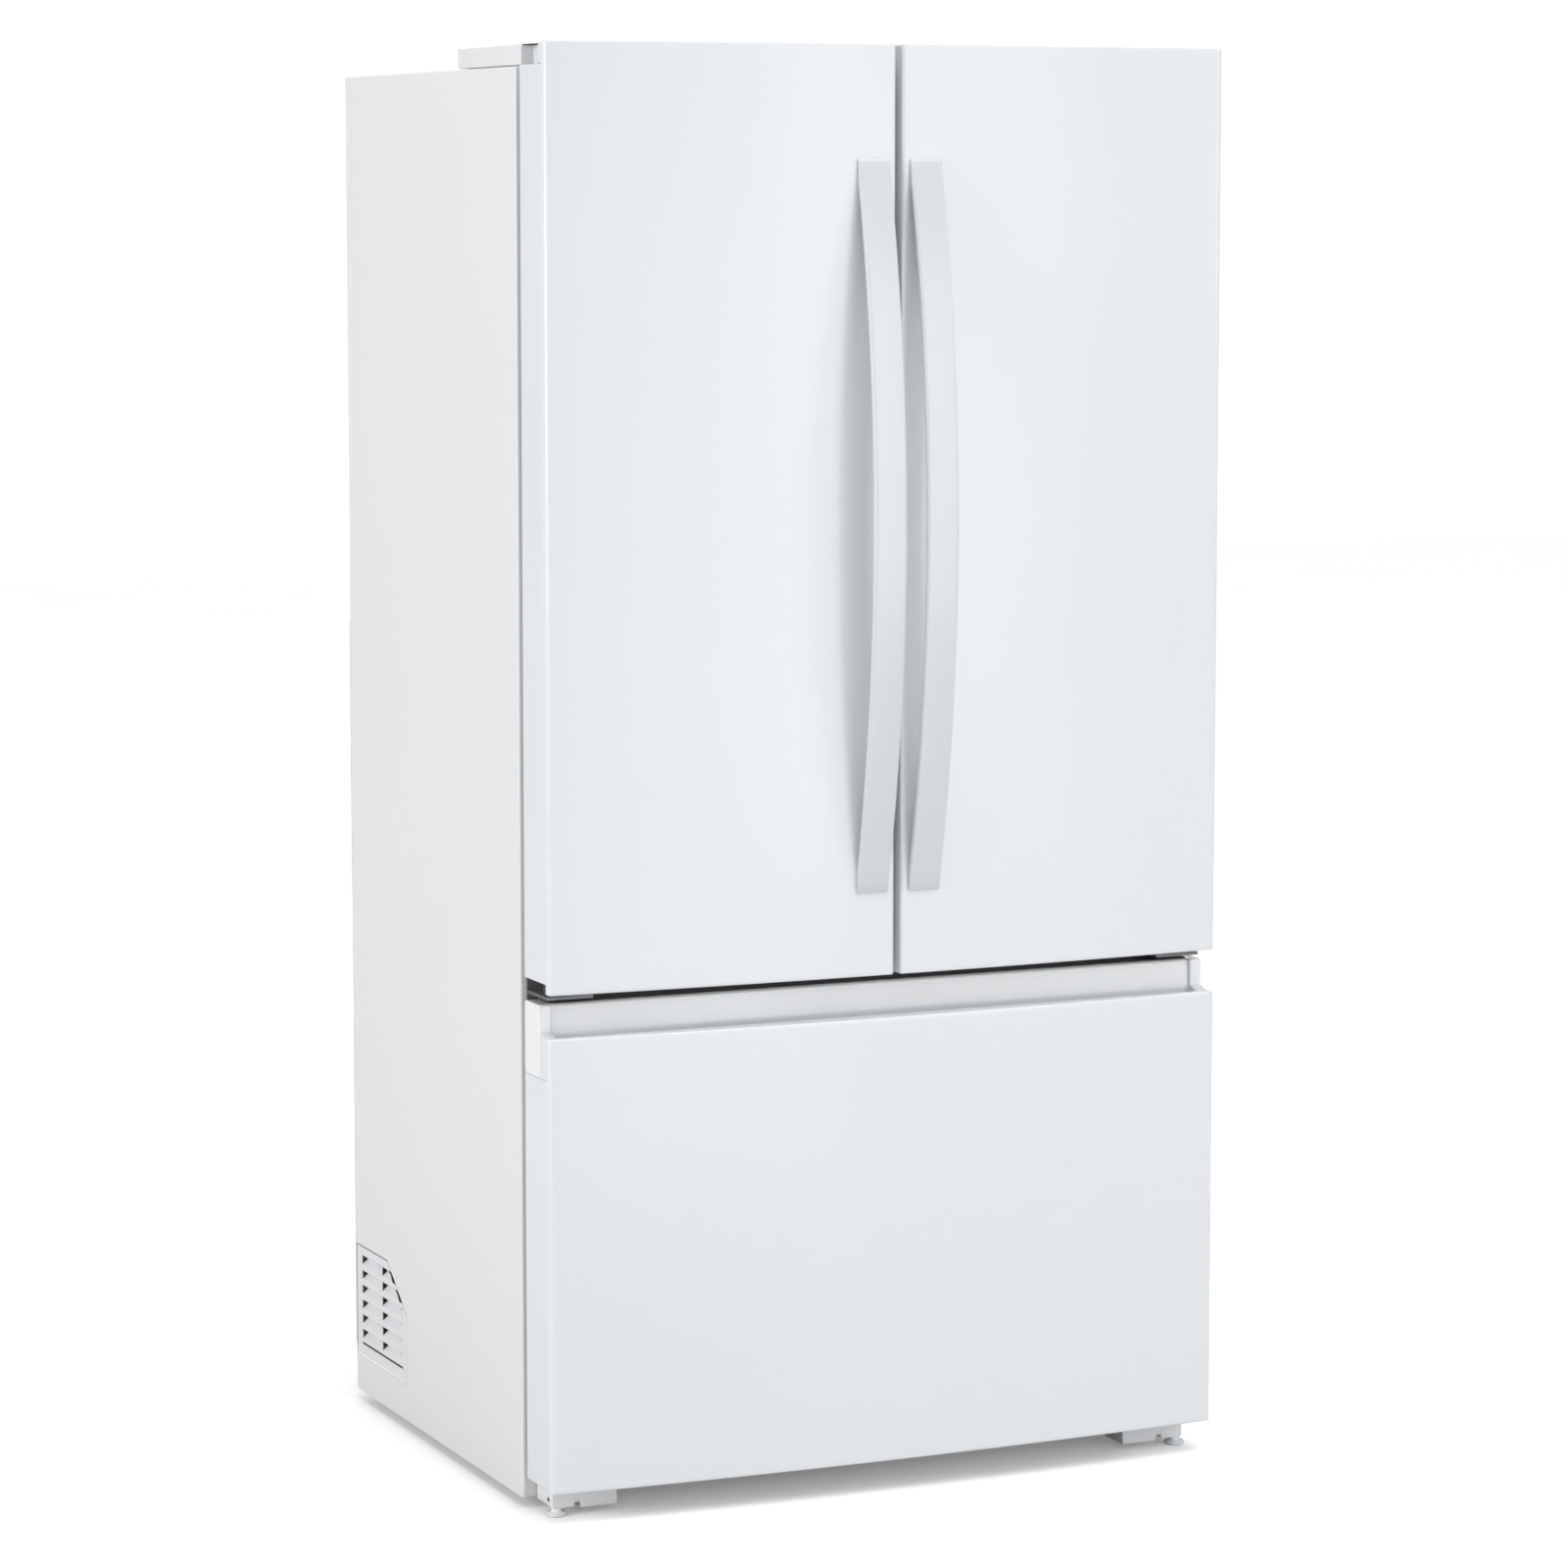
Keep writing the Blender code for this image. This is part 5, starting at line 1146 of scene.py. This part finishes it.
low, high = span("freezer_tray")
tray = hollowPart(low, high, wall=0.0026, edge=0.012, draft=0.006, lip=0.004, lipHeight=0.008, corner=0.022)
gripLow = (-0.12, low[1] - 0.0085, high[2] - 0.034)
grip = slab(gripLow, (0.12, low[1] + 0.0030, high[2] + 0.0002), 0.0050, 0.0042, "x")
divider = slab((-0.0015, low[1] + 0.010, low[2] + 0.0030), (0.0015, high[1] - 0.010, high[2] - 0.022),
               0.0012, 0.0007, "x")
piece("freezer_tray_body", [tray, divider], "clearPlastic", "upper_tray", stands=["freezer_tray"])
piece("freezer_tray_grip", [grip], "trimPlastic", "upper_tray")

slideShape = {"sheet": 0.0014, "inner": 0.0060, "wheel": 0.0112}
for word, side in sides:
    low, high = span(word + "_freezer_slide")
    if side < 0:
        low, high = np.array([-high[0], low[1], low[2]]), np.array([-low[0], high[1], high[2]])
    sheet, x0, x1, z0, z1 = slideShape["sheet"], low[0], high[0], low[2], high[2]
    channel = [(x1, z0), (x1, z1), (x0, z1), (x0, z1 - 0.006), (x0 + sheet, z1 - 0.006),
               (x0 + sheet, z1 - sheet),
               (x1 - sheet, z1 - sheet), (x1 - sheet, z0 + sheet), (x0 + sheet, z0 + sheet),
               (x0 + sheet, z0 + 0.006), (x0, z0 + 0.006), (x0, z0)]
    outer = prismPart(np.array(channel), low[1], high[1], 0.0003, "y", holdIn=0.0001, holdUp=0.0005)
    inner = slab((x0 + 0.0030, low[1] + 0.006, z0 + 0.008),
                 (x0 + 0.0030 + slideShape["inner"], high[1] - 0.006, z1 - 0.008), 0.0015, 0.0012, "y")
    wheelRadius = slideShape["wheel"]
    wheelProfile = [(0.0030, x0 - 0.0002), (wheelRadius - 0.0007, x0 + 0.0002), (wheelRadius, x0 + 0.0014),
                    (wheelRadius, x0 + 0.0070), (wheelRadius - 0.0007, x0 + 0.0082), (0.0030, x0 + 0.0086)]
    wheel = turnedPart(wheelProfile, (high[1] - 0.016, (z0 + z1) / 2), "x", sides=28)
    parts = [mirrored(part, side) for part in (outer, inner)]
    piece(word + "_slide_rails", parts, "zincSteel", word + "_slide", stands=[word + "_freezer_slide"])
    piece(word + "_slide_wheel", [mirrored(wheel, side)], "darkPlasticAndShade", word + "_slide")
print("freezer fittings made")


# Back

backShape = {"sheetHalf": 0.4520, "sheetRear": 0.3852, "coverFace": 0.3979, "coverLow": 0.0670,
             "coverHigh": 1.0530, "coverFront": 0.3858, "screwX": 0.437, "screwRadius": 0.0036,
             "ribX": (-0.36, -0.18, 0.0, 0.18, 0.36),
             "ribLow": 0.330, "ribHigh": 0.960, "ribHalf": 0.009, "beads": (1.150, 1.290, 1.430, 1.570),
             "beadHalf": 0.350,
             "beadHeight": 0.018, "columns": (-0.27, -0.09, 0.09, 0.27), "rows": 5, "lowest": 0.1050,
             "pitch": 0.0320, "slotHalf": 0.0650, "slotHeight": 0.0110}
low, high = span("back_panel")
sheetRear, coverFace, proud = backShape["sheetRear"], backShape["coverFace"], high[1] - 0.0001
sheet = slab((-backShape["sheetHalf"], low[1], low[2]), (backShape["sheetHalf"], sheetRear, high[2]), 0.004,
             0.0004, "y")
beads = [slab((-backShape["beadHalf"], sheetRear - 0.001, z),
              (backShape["beadHalf"], sheetRear + 0.0032, z + backShape["beadHeight"]), 0.0085, 0.0028, "y")
         for z in backShape["beads"]]
cover = hollowPart((low[0], backShape["coverFront"], backShape["coverLow"]),
                   (high[0], coverFace, backShape["coverHigh"]), "y", -1, wall=0.0011, edge=0.0045,
                   draft=0.0030, lip=0.0, lipHeight=0.003, corner=0.010)
hoods, slits = [], []
for column in backShape["columns"]:
    for row in range(backShape["rows"]):
        z = backShape["lowest"] + backShape["pitch"] * row
        left, right = column - backShape["slotHalf"], column + backShape["slotHalf"]
        hoods.append(slab((left, coverFace - 0.0010, z + 0.0030), (right, proud, z + backShape["slotHeight"]),
                          0.0035, 0.0014, "y"))
        # a dark patch under each hood: painted shade where the louvre opens
        slits.append(slab((left + 0.003, coverFace - 0.0010, z - 0.0010),
                          (right - 0.003, coverFace + 0.0002, z + 0.0034), 0.0018, 0.0001, "y"))
ribHalf, screwX, screwRadius = backShape["ribHalf"], backShape["screwX"], backShape["screwRadius"]
ribs = [slab((x - ribHalf, coverFace - 0.001, backShape["ribLow"]),
             (x + ribHalf, proud, backShape["ribHigh"]), 0.008, 0.0014, "y") for x in backShape["ribX"]]
coverScrews = [screwPart((x, coverFace - 0.0003, z), 1, screwRadius) for x in (-screwX, screwX)
               for z in (0.090, 0.330, 0.570, 0.810, 1.030)]
sheetScrews = [screwPart((x, sheetRear, z), 1, screwRadius) for x in (-screwX, -0.15, 0.15, screwX)
               for z in (1.085, 1.740)]
sheetScrews += [screwPart((x, sheetRear, z), 1, screwRadius) for x in (-screwX, screwX)
                for z in (1.300, 1.520)]
piece("back_sheet", [sheet] + beads, "backSteel", "cabinet", stands=["back_panel"])
piece("back_cover", [cover] + hoods + ribs, "backSteel", "cabinet")
# the slit patches are painted shade
piece("back_cover_slit_shade", slits, "darkPlasticAndShade", "cabinet")
piece("back_screws", coverScrews + sheetScrews, "zincSteel", "cabinet")

glandShape = {"place": (0.345, 0.245), "radius": 0.0125, "bore": 0.0042}
radius, bore = glandShape["radius"], glandShape["bore"]
glandProfile = [(radius, -0.001), (radius, 0.0006), (radius * 0.86, 0.0015), (bore * 1.3, 0.0015),
                (bore, 0.0008), (bore, -0.0006)]
gland = turnedPart([(r, coverFace + rise) for r, rise in glandProfile], glandShape["place"], "y")
piece("cord_gland", [gland], "darkPlasticAndShade", "cabinet")
print("back made")


# Feet and rollers

footShape = {"edge": 0.0030, "notchLow": 0.3990, "notchHigh": 0.4060, "notchTop": 0.0150, "turns": 25,
             "pitch": 0.0009, "threadLow": 0.0098, "grips": 12}
for word, side in sides:
    low, high = span("right_foot_cover")
    notchLow, notchHigh, edge = footShape["notchLow"], footShape["notchHigh"], footShape["edge"]
    outer = slab((notchHigh, low[1], low[2] + 0.0022), (high[0], high[1], high[2]), edge, 0.0014, "y")
    inner = slab((low[0], low[1], low[2]), (notchLow, high[1], high[2]), edge, 0.0014, "y")
    bridge = slab((notchLow - 0.0035, low[1] + 0.0004, footShape["notchTop"]),
                  (notchHigh + 0.0035, high[1], high[2]), 0.0030, 0.0012, "y")
    # a dark patch on the cover's outer side: painted shade where its slot opens
    slot = slab((high[0] - 0.0004, low[1] + 0.0085, 0.0165), (high[0] + 0.0002, low[1] + 0.0150, 0.0215),
                0.0012, 0.0001, "x")
    # the foot shield's lighter enamel is painted light under the drawer's shade
    piece(word + "_foot_shield", [mirrored(part, side) for part in (outer, inner, bridge)], "paintedLightEnamel",
          "cabinet", stands=[word + "_foot_cover"])
    piece(word + "_foot_slot_shade", [mirrored(slot, side)], "darkPlasticAndShade", "cabinet")
    low, high = span("right_leveling_foot")
    centre = (low + high) / 2
    thread = [(0.0036 if k % 2 else 0.0030, footShape["threadLow"] + footShape["pitch"] * k)
              for k in range(footShape["turns"])]
    radius = (high[0] - low[0]) / 2
    disc = turnedPart([(radius - 0.0010, 0.0), (radius, 0.0008), (radius, 0.0042), (radius - 0.0010, 0.0052),
                       (0.0066, 0.0055), (0.0062, 0.0094), (0.0040, 0.0097)] + thread, centre[:2], sides=36)
    grips = []
    for a in np.arange(footShape["grips"]) * 2 * np.pi / footShape["grips"]:
        x, y = centre[0] + (radius - 0.0006) * math.cos(a), centre[1] + (radius - 0.0006) * math.sin(a)
        grips.append(slab((x - 0.0006, y - 0.0006, 0.0012), (x + 0.0006, y + 0.0006, 0.0040), 0.0005, 0.0002))
    # the foot screw's lighter enamel is painted light under the drawer's shade
    piece(word + "_foot_screw", [mirrored(part, side) for part in [disc] + grips], "paintedLightEnamel",
          word + "_foot", stands=[word + "_leveling_foot"])
    low, high = span("right_roller")
    centre, middle = (low + high) / 2, (low[0] + high[0]) / 2
    rollerRadius = (high[2] - low[2]) / 2
    tyre = [(0.0150, -0.0060), (0.0205, -0.0072), (0.0232, -0.0104), (0.0246, -0.0100),
            (rollerRadius, -0.0080),
            (rollerRadius, 0.0080), (0.0246, 0.0100), (0.0232, 0.0104), (0.0205, 0.0072), (0.0150, 0.0060)]
    rows = [(r, middle + x) for r, x in [(0.0045, -0.0139), (0.0060, -0.0134), (0.0062, -0.0070)] + tyre +
            [(0.0062, 0.0070), (0.0060, 0.0134), (0.0045, 0.0139)]]
    wheel = turnedPart(rows, centre[1:], "x", sides=44)
    bossHalf, bossAt = 0.0072, 0.0112
    bossProfile = [(0.0030, middle - bossHalf), (0.0032, middle - bossHalf + 0.0005),
                   (0.0032, middle + bossHalf - 0.0005), (0.0030, middle + bossHalf)]
    bosses = [turnedPart(bossProfile, (centre[1] + bossAt * math.cos(a), centre[2] + bossAt * math.sin(a)),
                         "x", sides=12)
              for a in np.arange(5) * 2 * np.pi / 5]
    piece(word + "_roller_wheel", [mirrored(part, side) for part in [wheel] + bosses], "darkPlasticAndShade",
          word + "_roller_body", stands=[word + "_roller"])

hingeShape = {"washer": 0.0118, "plateTop": 0.6440, "washerLow": 1.7572, "screwX": (0.3950, 0.4120),
              "screwY": -0.2345, "screwZ": 0.6565}
for word, side in sides:
    heads = [mirrored(screwPart((x, hingeShape["screwY"], hingeShape["screwZ"]), -1, 0.0046), side)
             for x in hingeShape["screwX"]]
    bush = turnedPart([(radius, hingeShape["plateTop"] + rise) for radius, rise in
                       ((0.0095, 0.0004), (0.0112, 0.0008), (0.0112, 0.0056), (0.0095, 0.0060))], hingePin,
                      sides=28)
    piece(word + "_hinge_screws", heads, "zincSteel", "cabinet")
    piece(word + "_hinge_bush", [mirrored(bush, side)], "darkPlasticAndShade", "cabinet")
    washerProfile = [(-0.0004, 0.0), (0.0, 0.0004), (0.0, 0.0028), (-0.0010, 0.0040), (-0.0058, 0.0042)]
    washer = turnedPart([(hingeShape["washer"] + inward, hingeShape["washerLow"] + rise)
                         for inward, rise in washerProfile], hingePin, sides=32)
    piece(word + "_hinge_washer", [mirrored(washer, side)], "darkPlasticAndShade", "cabinet")
print("feet, rollers and hinge parts made")


# CAD nodes that stay in sight

keptFinishes = {
    "zincSteel": ["base_plate", "left_top_hinge", "right_top_hinge", "left_freezer_slide",
                  "right_freezer_slide"],
    "hingeSteelAndShade": ["left_center_hinge", "right_center_hinge"],
    "backSteel": ["back_panel"],
    "cabinetEnamel": ["cross_rail", "left_foot_cover", "right_foot_cover", "cabinet_shell"],
    "enamel": ["left_door_panel", "right_door_panel", "freezer_front", "left_door_handle",
               "right_door_handle"],
    "linerPlastic": ["fresh_liner", "freezer_liner", "left_door_liner", "right_door_liner",
                     "freezer_front_liner", "evaporator_cover", "control_panel", "evaporator_fan"],
    "trimPlastic": ["left_side_vent", "right_side_vent", "left_hinge_cover", "right_hinge_cover",
                    "freezer_basket"],
    "greyPlastic": ["fresh_temp_button", "freezer_temp_button", "left_leveling_foot", "right_leveling_foot",
                    "flipper_mullion"],
    "sealRubberAndShade": ["left_door_gasket", "right_door_gasket", "freezer_gasket"],
    "darkPlasticAndShade": ["condenser_fan", "fan_bracket", "drain_pan", "left_roller", "right_roller"],
    "blackPaint": ["compressor"],
    "blackTube": ["condenser_coil"],
    "copperTube": ["evaporator_coil"],
    "foam": ["foam_insulation"],
    "shelfGlass": ["left_upper_shelf", "left_lower_shelf", "right_upper_shelf", "right_lower_shelf",
                   "crisper_cover"],
    "clearPlastic": ["left_crisper", "right_crisper", "left_door_upper_bin", "left_door_lower_bin",
                     "right_door_upper_bin", "right_door_lower_bin", "freezer_tray"],
    "frostPlastic": ["light_lens"],
}
finishOf = {name: finish for finish, names in keptFinishes.items() for name in names}
for name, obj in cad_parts.items():
    obj.data.materials.clear()
    obj.data.materials.append(finishes[finishOf[name]])


# Stage, light and camera

def stageSheet(name, size, height):
    verts = [(-size, -size, height), (size, -size, height), (size, size, height), (-size, size, height)]
    mesh = bpy.data.meshes.new(name)
    mesh.from_pydata(verts, [], [(0, 1, 2, 3)])
    obj = bpy.data.objects.new(name, mesh)
    scene.collection.objects.link(obj)
    return obj


floorShape = {"size": 14.0, "seen": (0.95, 0.95, 0.95, 1.0), "bounced": (0.52, 0.52, 0.52, 1.0),
              "rough": 0.75, "glow": 0.19}
floor = stageSheet("studio_floor", floorShape["size"], 0.0)
floorFinish = bpy.data.materials.new("studio_paper")
floorFinish.use_nodes = True
tree = floorFinish.node_tree
paper = spread(tree, noise(tree, 2.0), floorShape["rough"] - 0.03, floorShape["rough"] + 0.03)
principled = tree.nodes["Principled BSDF"]
tree.links.new(paper, principled.inputs["Roughness"])
seen = node(tree, "LightPath").outputs["Is Camera Ray"]  # the paper bounces less light than it shows
tone = node(tree, "Mix", data_type="RGBA")
tree.links.new(seen, tone.inputs[0])
tone.inputs[6].default_value, tone.inputs[7].default_value = floorShape["bounced"], floorShape["seen"]
tree.links.new(tone.outputs[2], principled.inputs["Base Color"])
glow = node(tree, "Math", [(0, seen), (1, floorShape["glow"])], operation="MULTIPLY")
tree.links.new(glow.outputs[0], principled.inputs["Emission Strength"])
principled.inputs["Emission Color"].default_value = (1.0, 1.0, 1.0, 1.0)
floor.data.materials.append(floorFinish)

world = bpy.data.worlds.new("studio")
scene.world = world
world.use_nodes = True
worldShape = {"seen": (1.0, 1.0, 1.0, 1.0), "lit": (0.93, 0.96, 1.0, 1.0), "litStrength": 0.43}
tree = world.node_tree
background = tree.nodes["Background"]
background.inputs["Color"].default_value = worldShape["lit"]
background.inputs["Strength"].default_value = worldShape["litStrength"]
backdrop = node(tree, "Background", [("Color", worldShape["seen"]), ("Strength", 1.05)])
choice = node(tree, "MixShader", [(0, node(tree, "LightPath").outputs["Is Camera Ray"]),
                                  (1, background.outputs[0]), (2, backdrop.outputs[0])])
tree.links.new(choice.outputs[0], tree.nodes["World Output"].inputs["Surface"])

# name: place, aim, size (width, height), power in watts, colour
lightTable = {
    "front_wash": ((0.40, -2.3, 1.15), (0.05, -0.3, 1.0), (0.7, 2.3), 6.5, (0.985, 0.99, 1.0)),
    "sheen_panel": ((2.7, -5.7, 1.5), (0.05, -0.3, 0.95), (1.5, 3.4), 38.0, (0.99, 0.995, 1.0)),
    "key_right": ((3.8, -3.4, 2.3), (0.0, -0.3, 0.95), (1.3, 2.0), 26.0, (1.0, 1.0, 0.99)),
    "side_left": ((-5.0, -0.6, 2.1), (-0.4, 0.0, 0.9), (2.6, 3.0), 122.0, (1.0, 0.995, 0.985)),
    "behind": ((1.5, 4.8, 2.4), (0.0, 0.3, 0.8), (3.0, 2.4), 45.0, (1.0, 1.0, 1.0)),
}


def aimed(name, light, place, aim):
    lamp = bpy.data.objects.new(name, light)
    scene.collection.objects.link(lamp)
    lamp.location = place
    direction = np.array(aim) - np.array(place)
    flat = math.hypot(direction[0], direction[1])
    lamp.rotation_euler = (math.atan2(flat, -direction[2]), 0.0, math.atan2(-direction[0], direction[1]))
    lamp.visible_camera = False


for name, (place, aim, size, power, colour) in lightTable.items():
    light = bpy.data.lights.new(name, "AREA")
    light.shape, light.size, light.size_y = "RECTANGLE", *size
    light.energy, light.color = power, colour
    aimed(name, light, place, aim)
skyShape = {"strength": 1.55, "angle": 50.0, "place": (0.7, -1.3, 5.0)}
sky = bpy.data.lights.new("sky_wash", "SUN")
sky.energy, sky.angle = skyShape["strength"], math.radians(skyShape["angle"])
aimed("sky_wash", sky, skyShape["place"], (0.0, 0.0, 0.0))
scene.view_settings.view_transform = "Standard"

cameraShape = {"lens": 113.44, "sensor": 36.0, "place": (-2.5775, -5.7753, 1.6085), "turn": 24.055,
               "down": 6.219, "shiftY": -0.035}
lens = bpy.data.cameras.new("main_camera")
lens.lens, lens.sensor_width = cameraShape["lens"], cameraShape["sensor"]
lens.shift_y = cameraShape["shiftY"]
camera = bpy.data.objects.new("main_camera", lens)
scene.collection.objects.link(camera)
camera.location = cameraShape["place"]
camera.rotation_euler = (math.radians(90 - cameraShape["down"]), 0.0, math.radians(-cameraShape["turn"]))
scene.camera = camera
print("stage, lights and camera made")
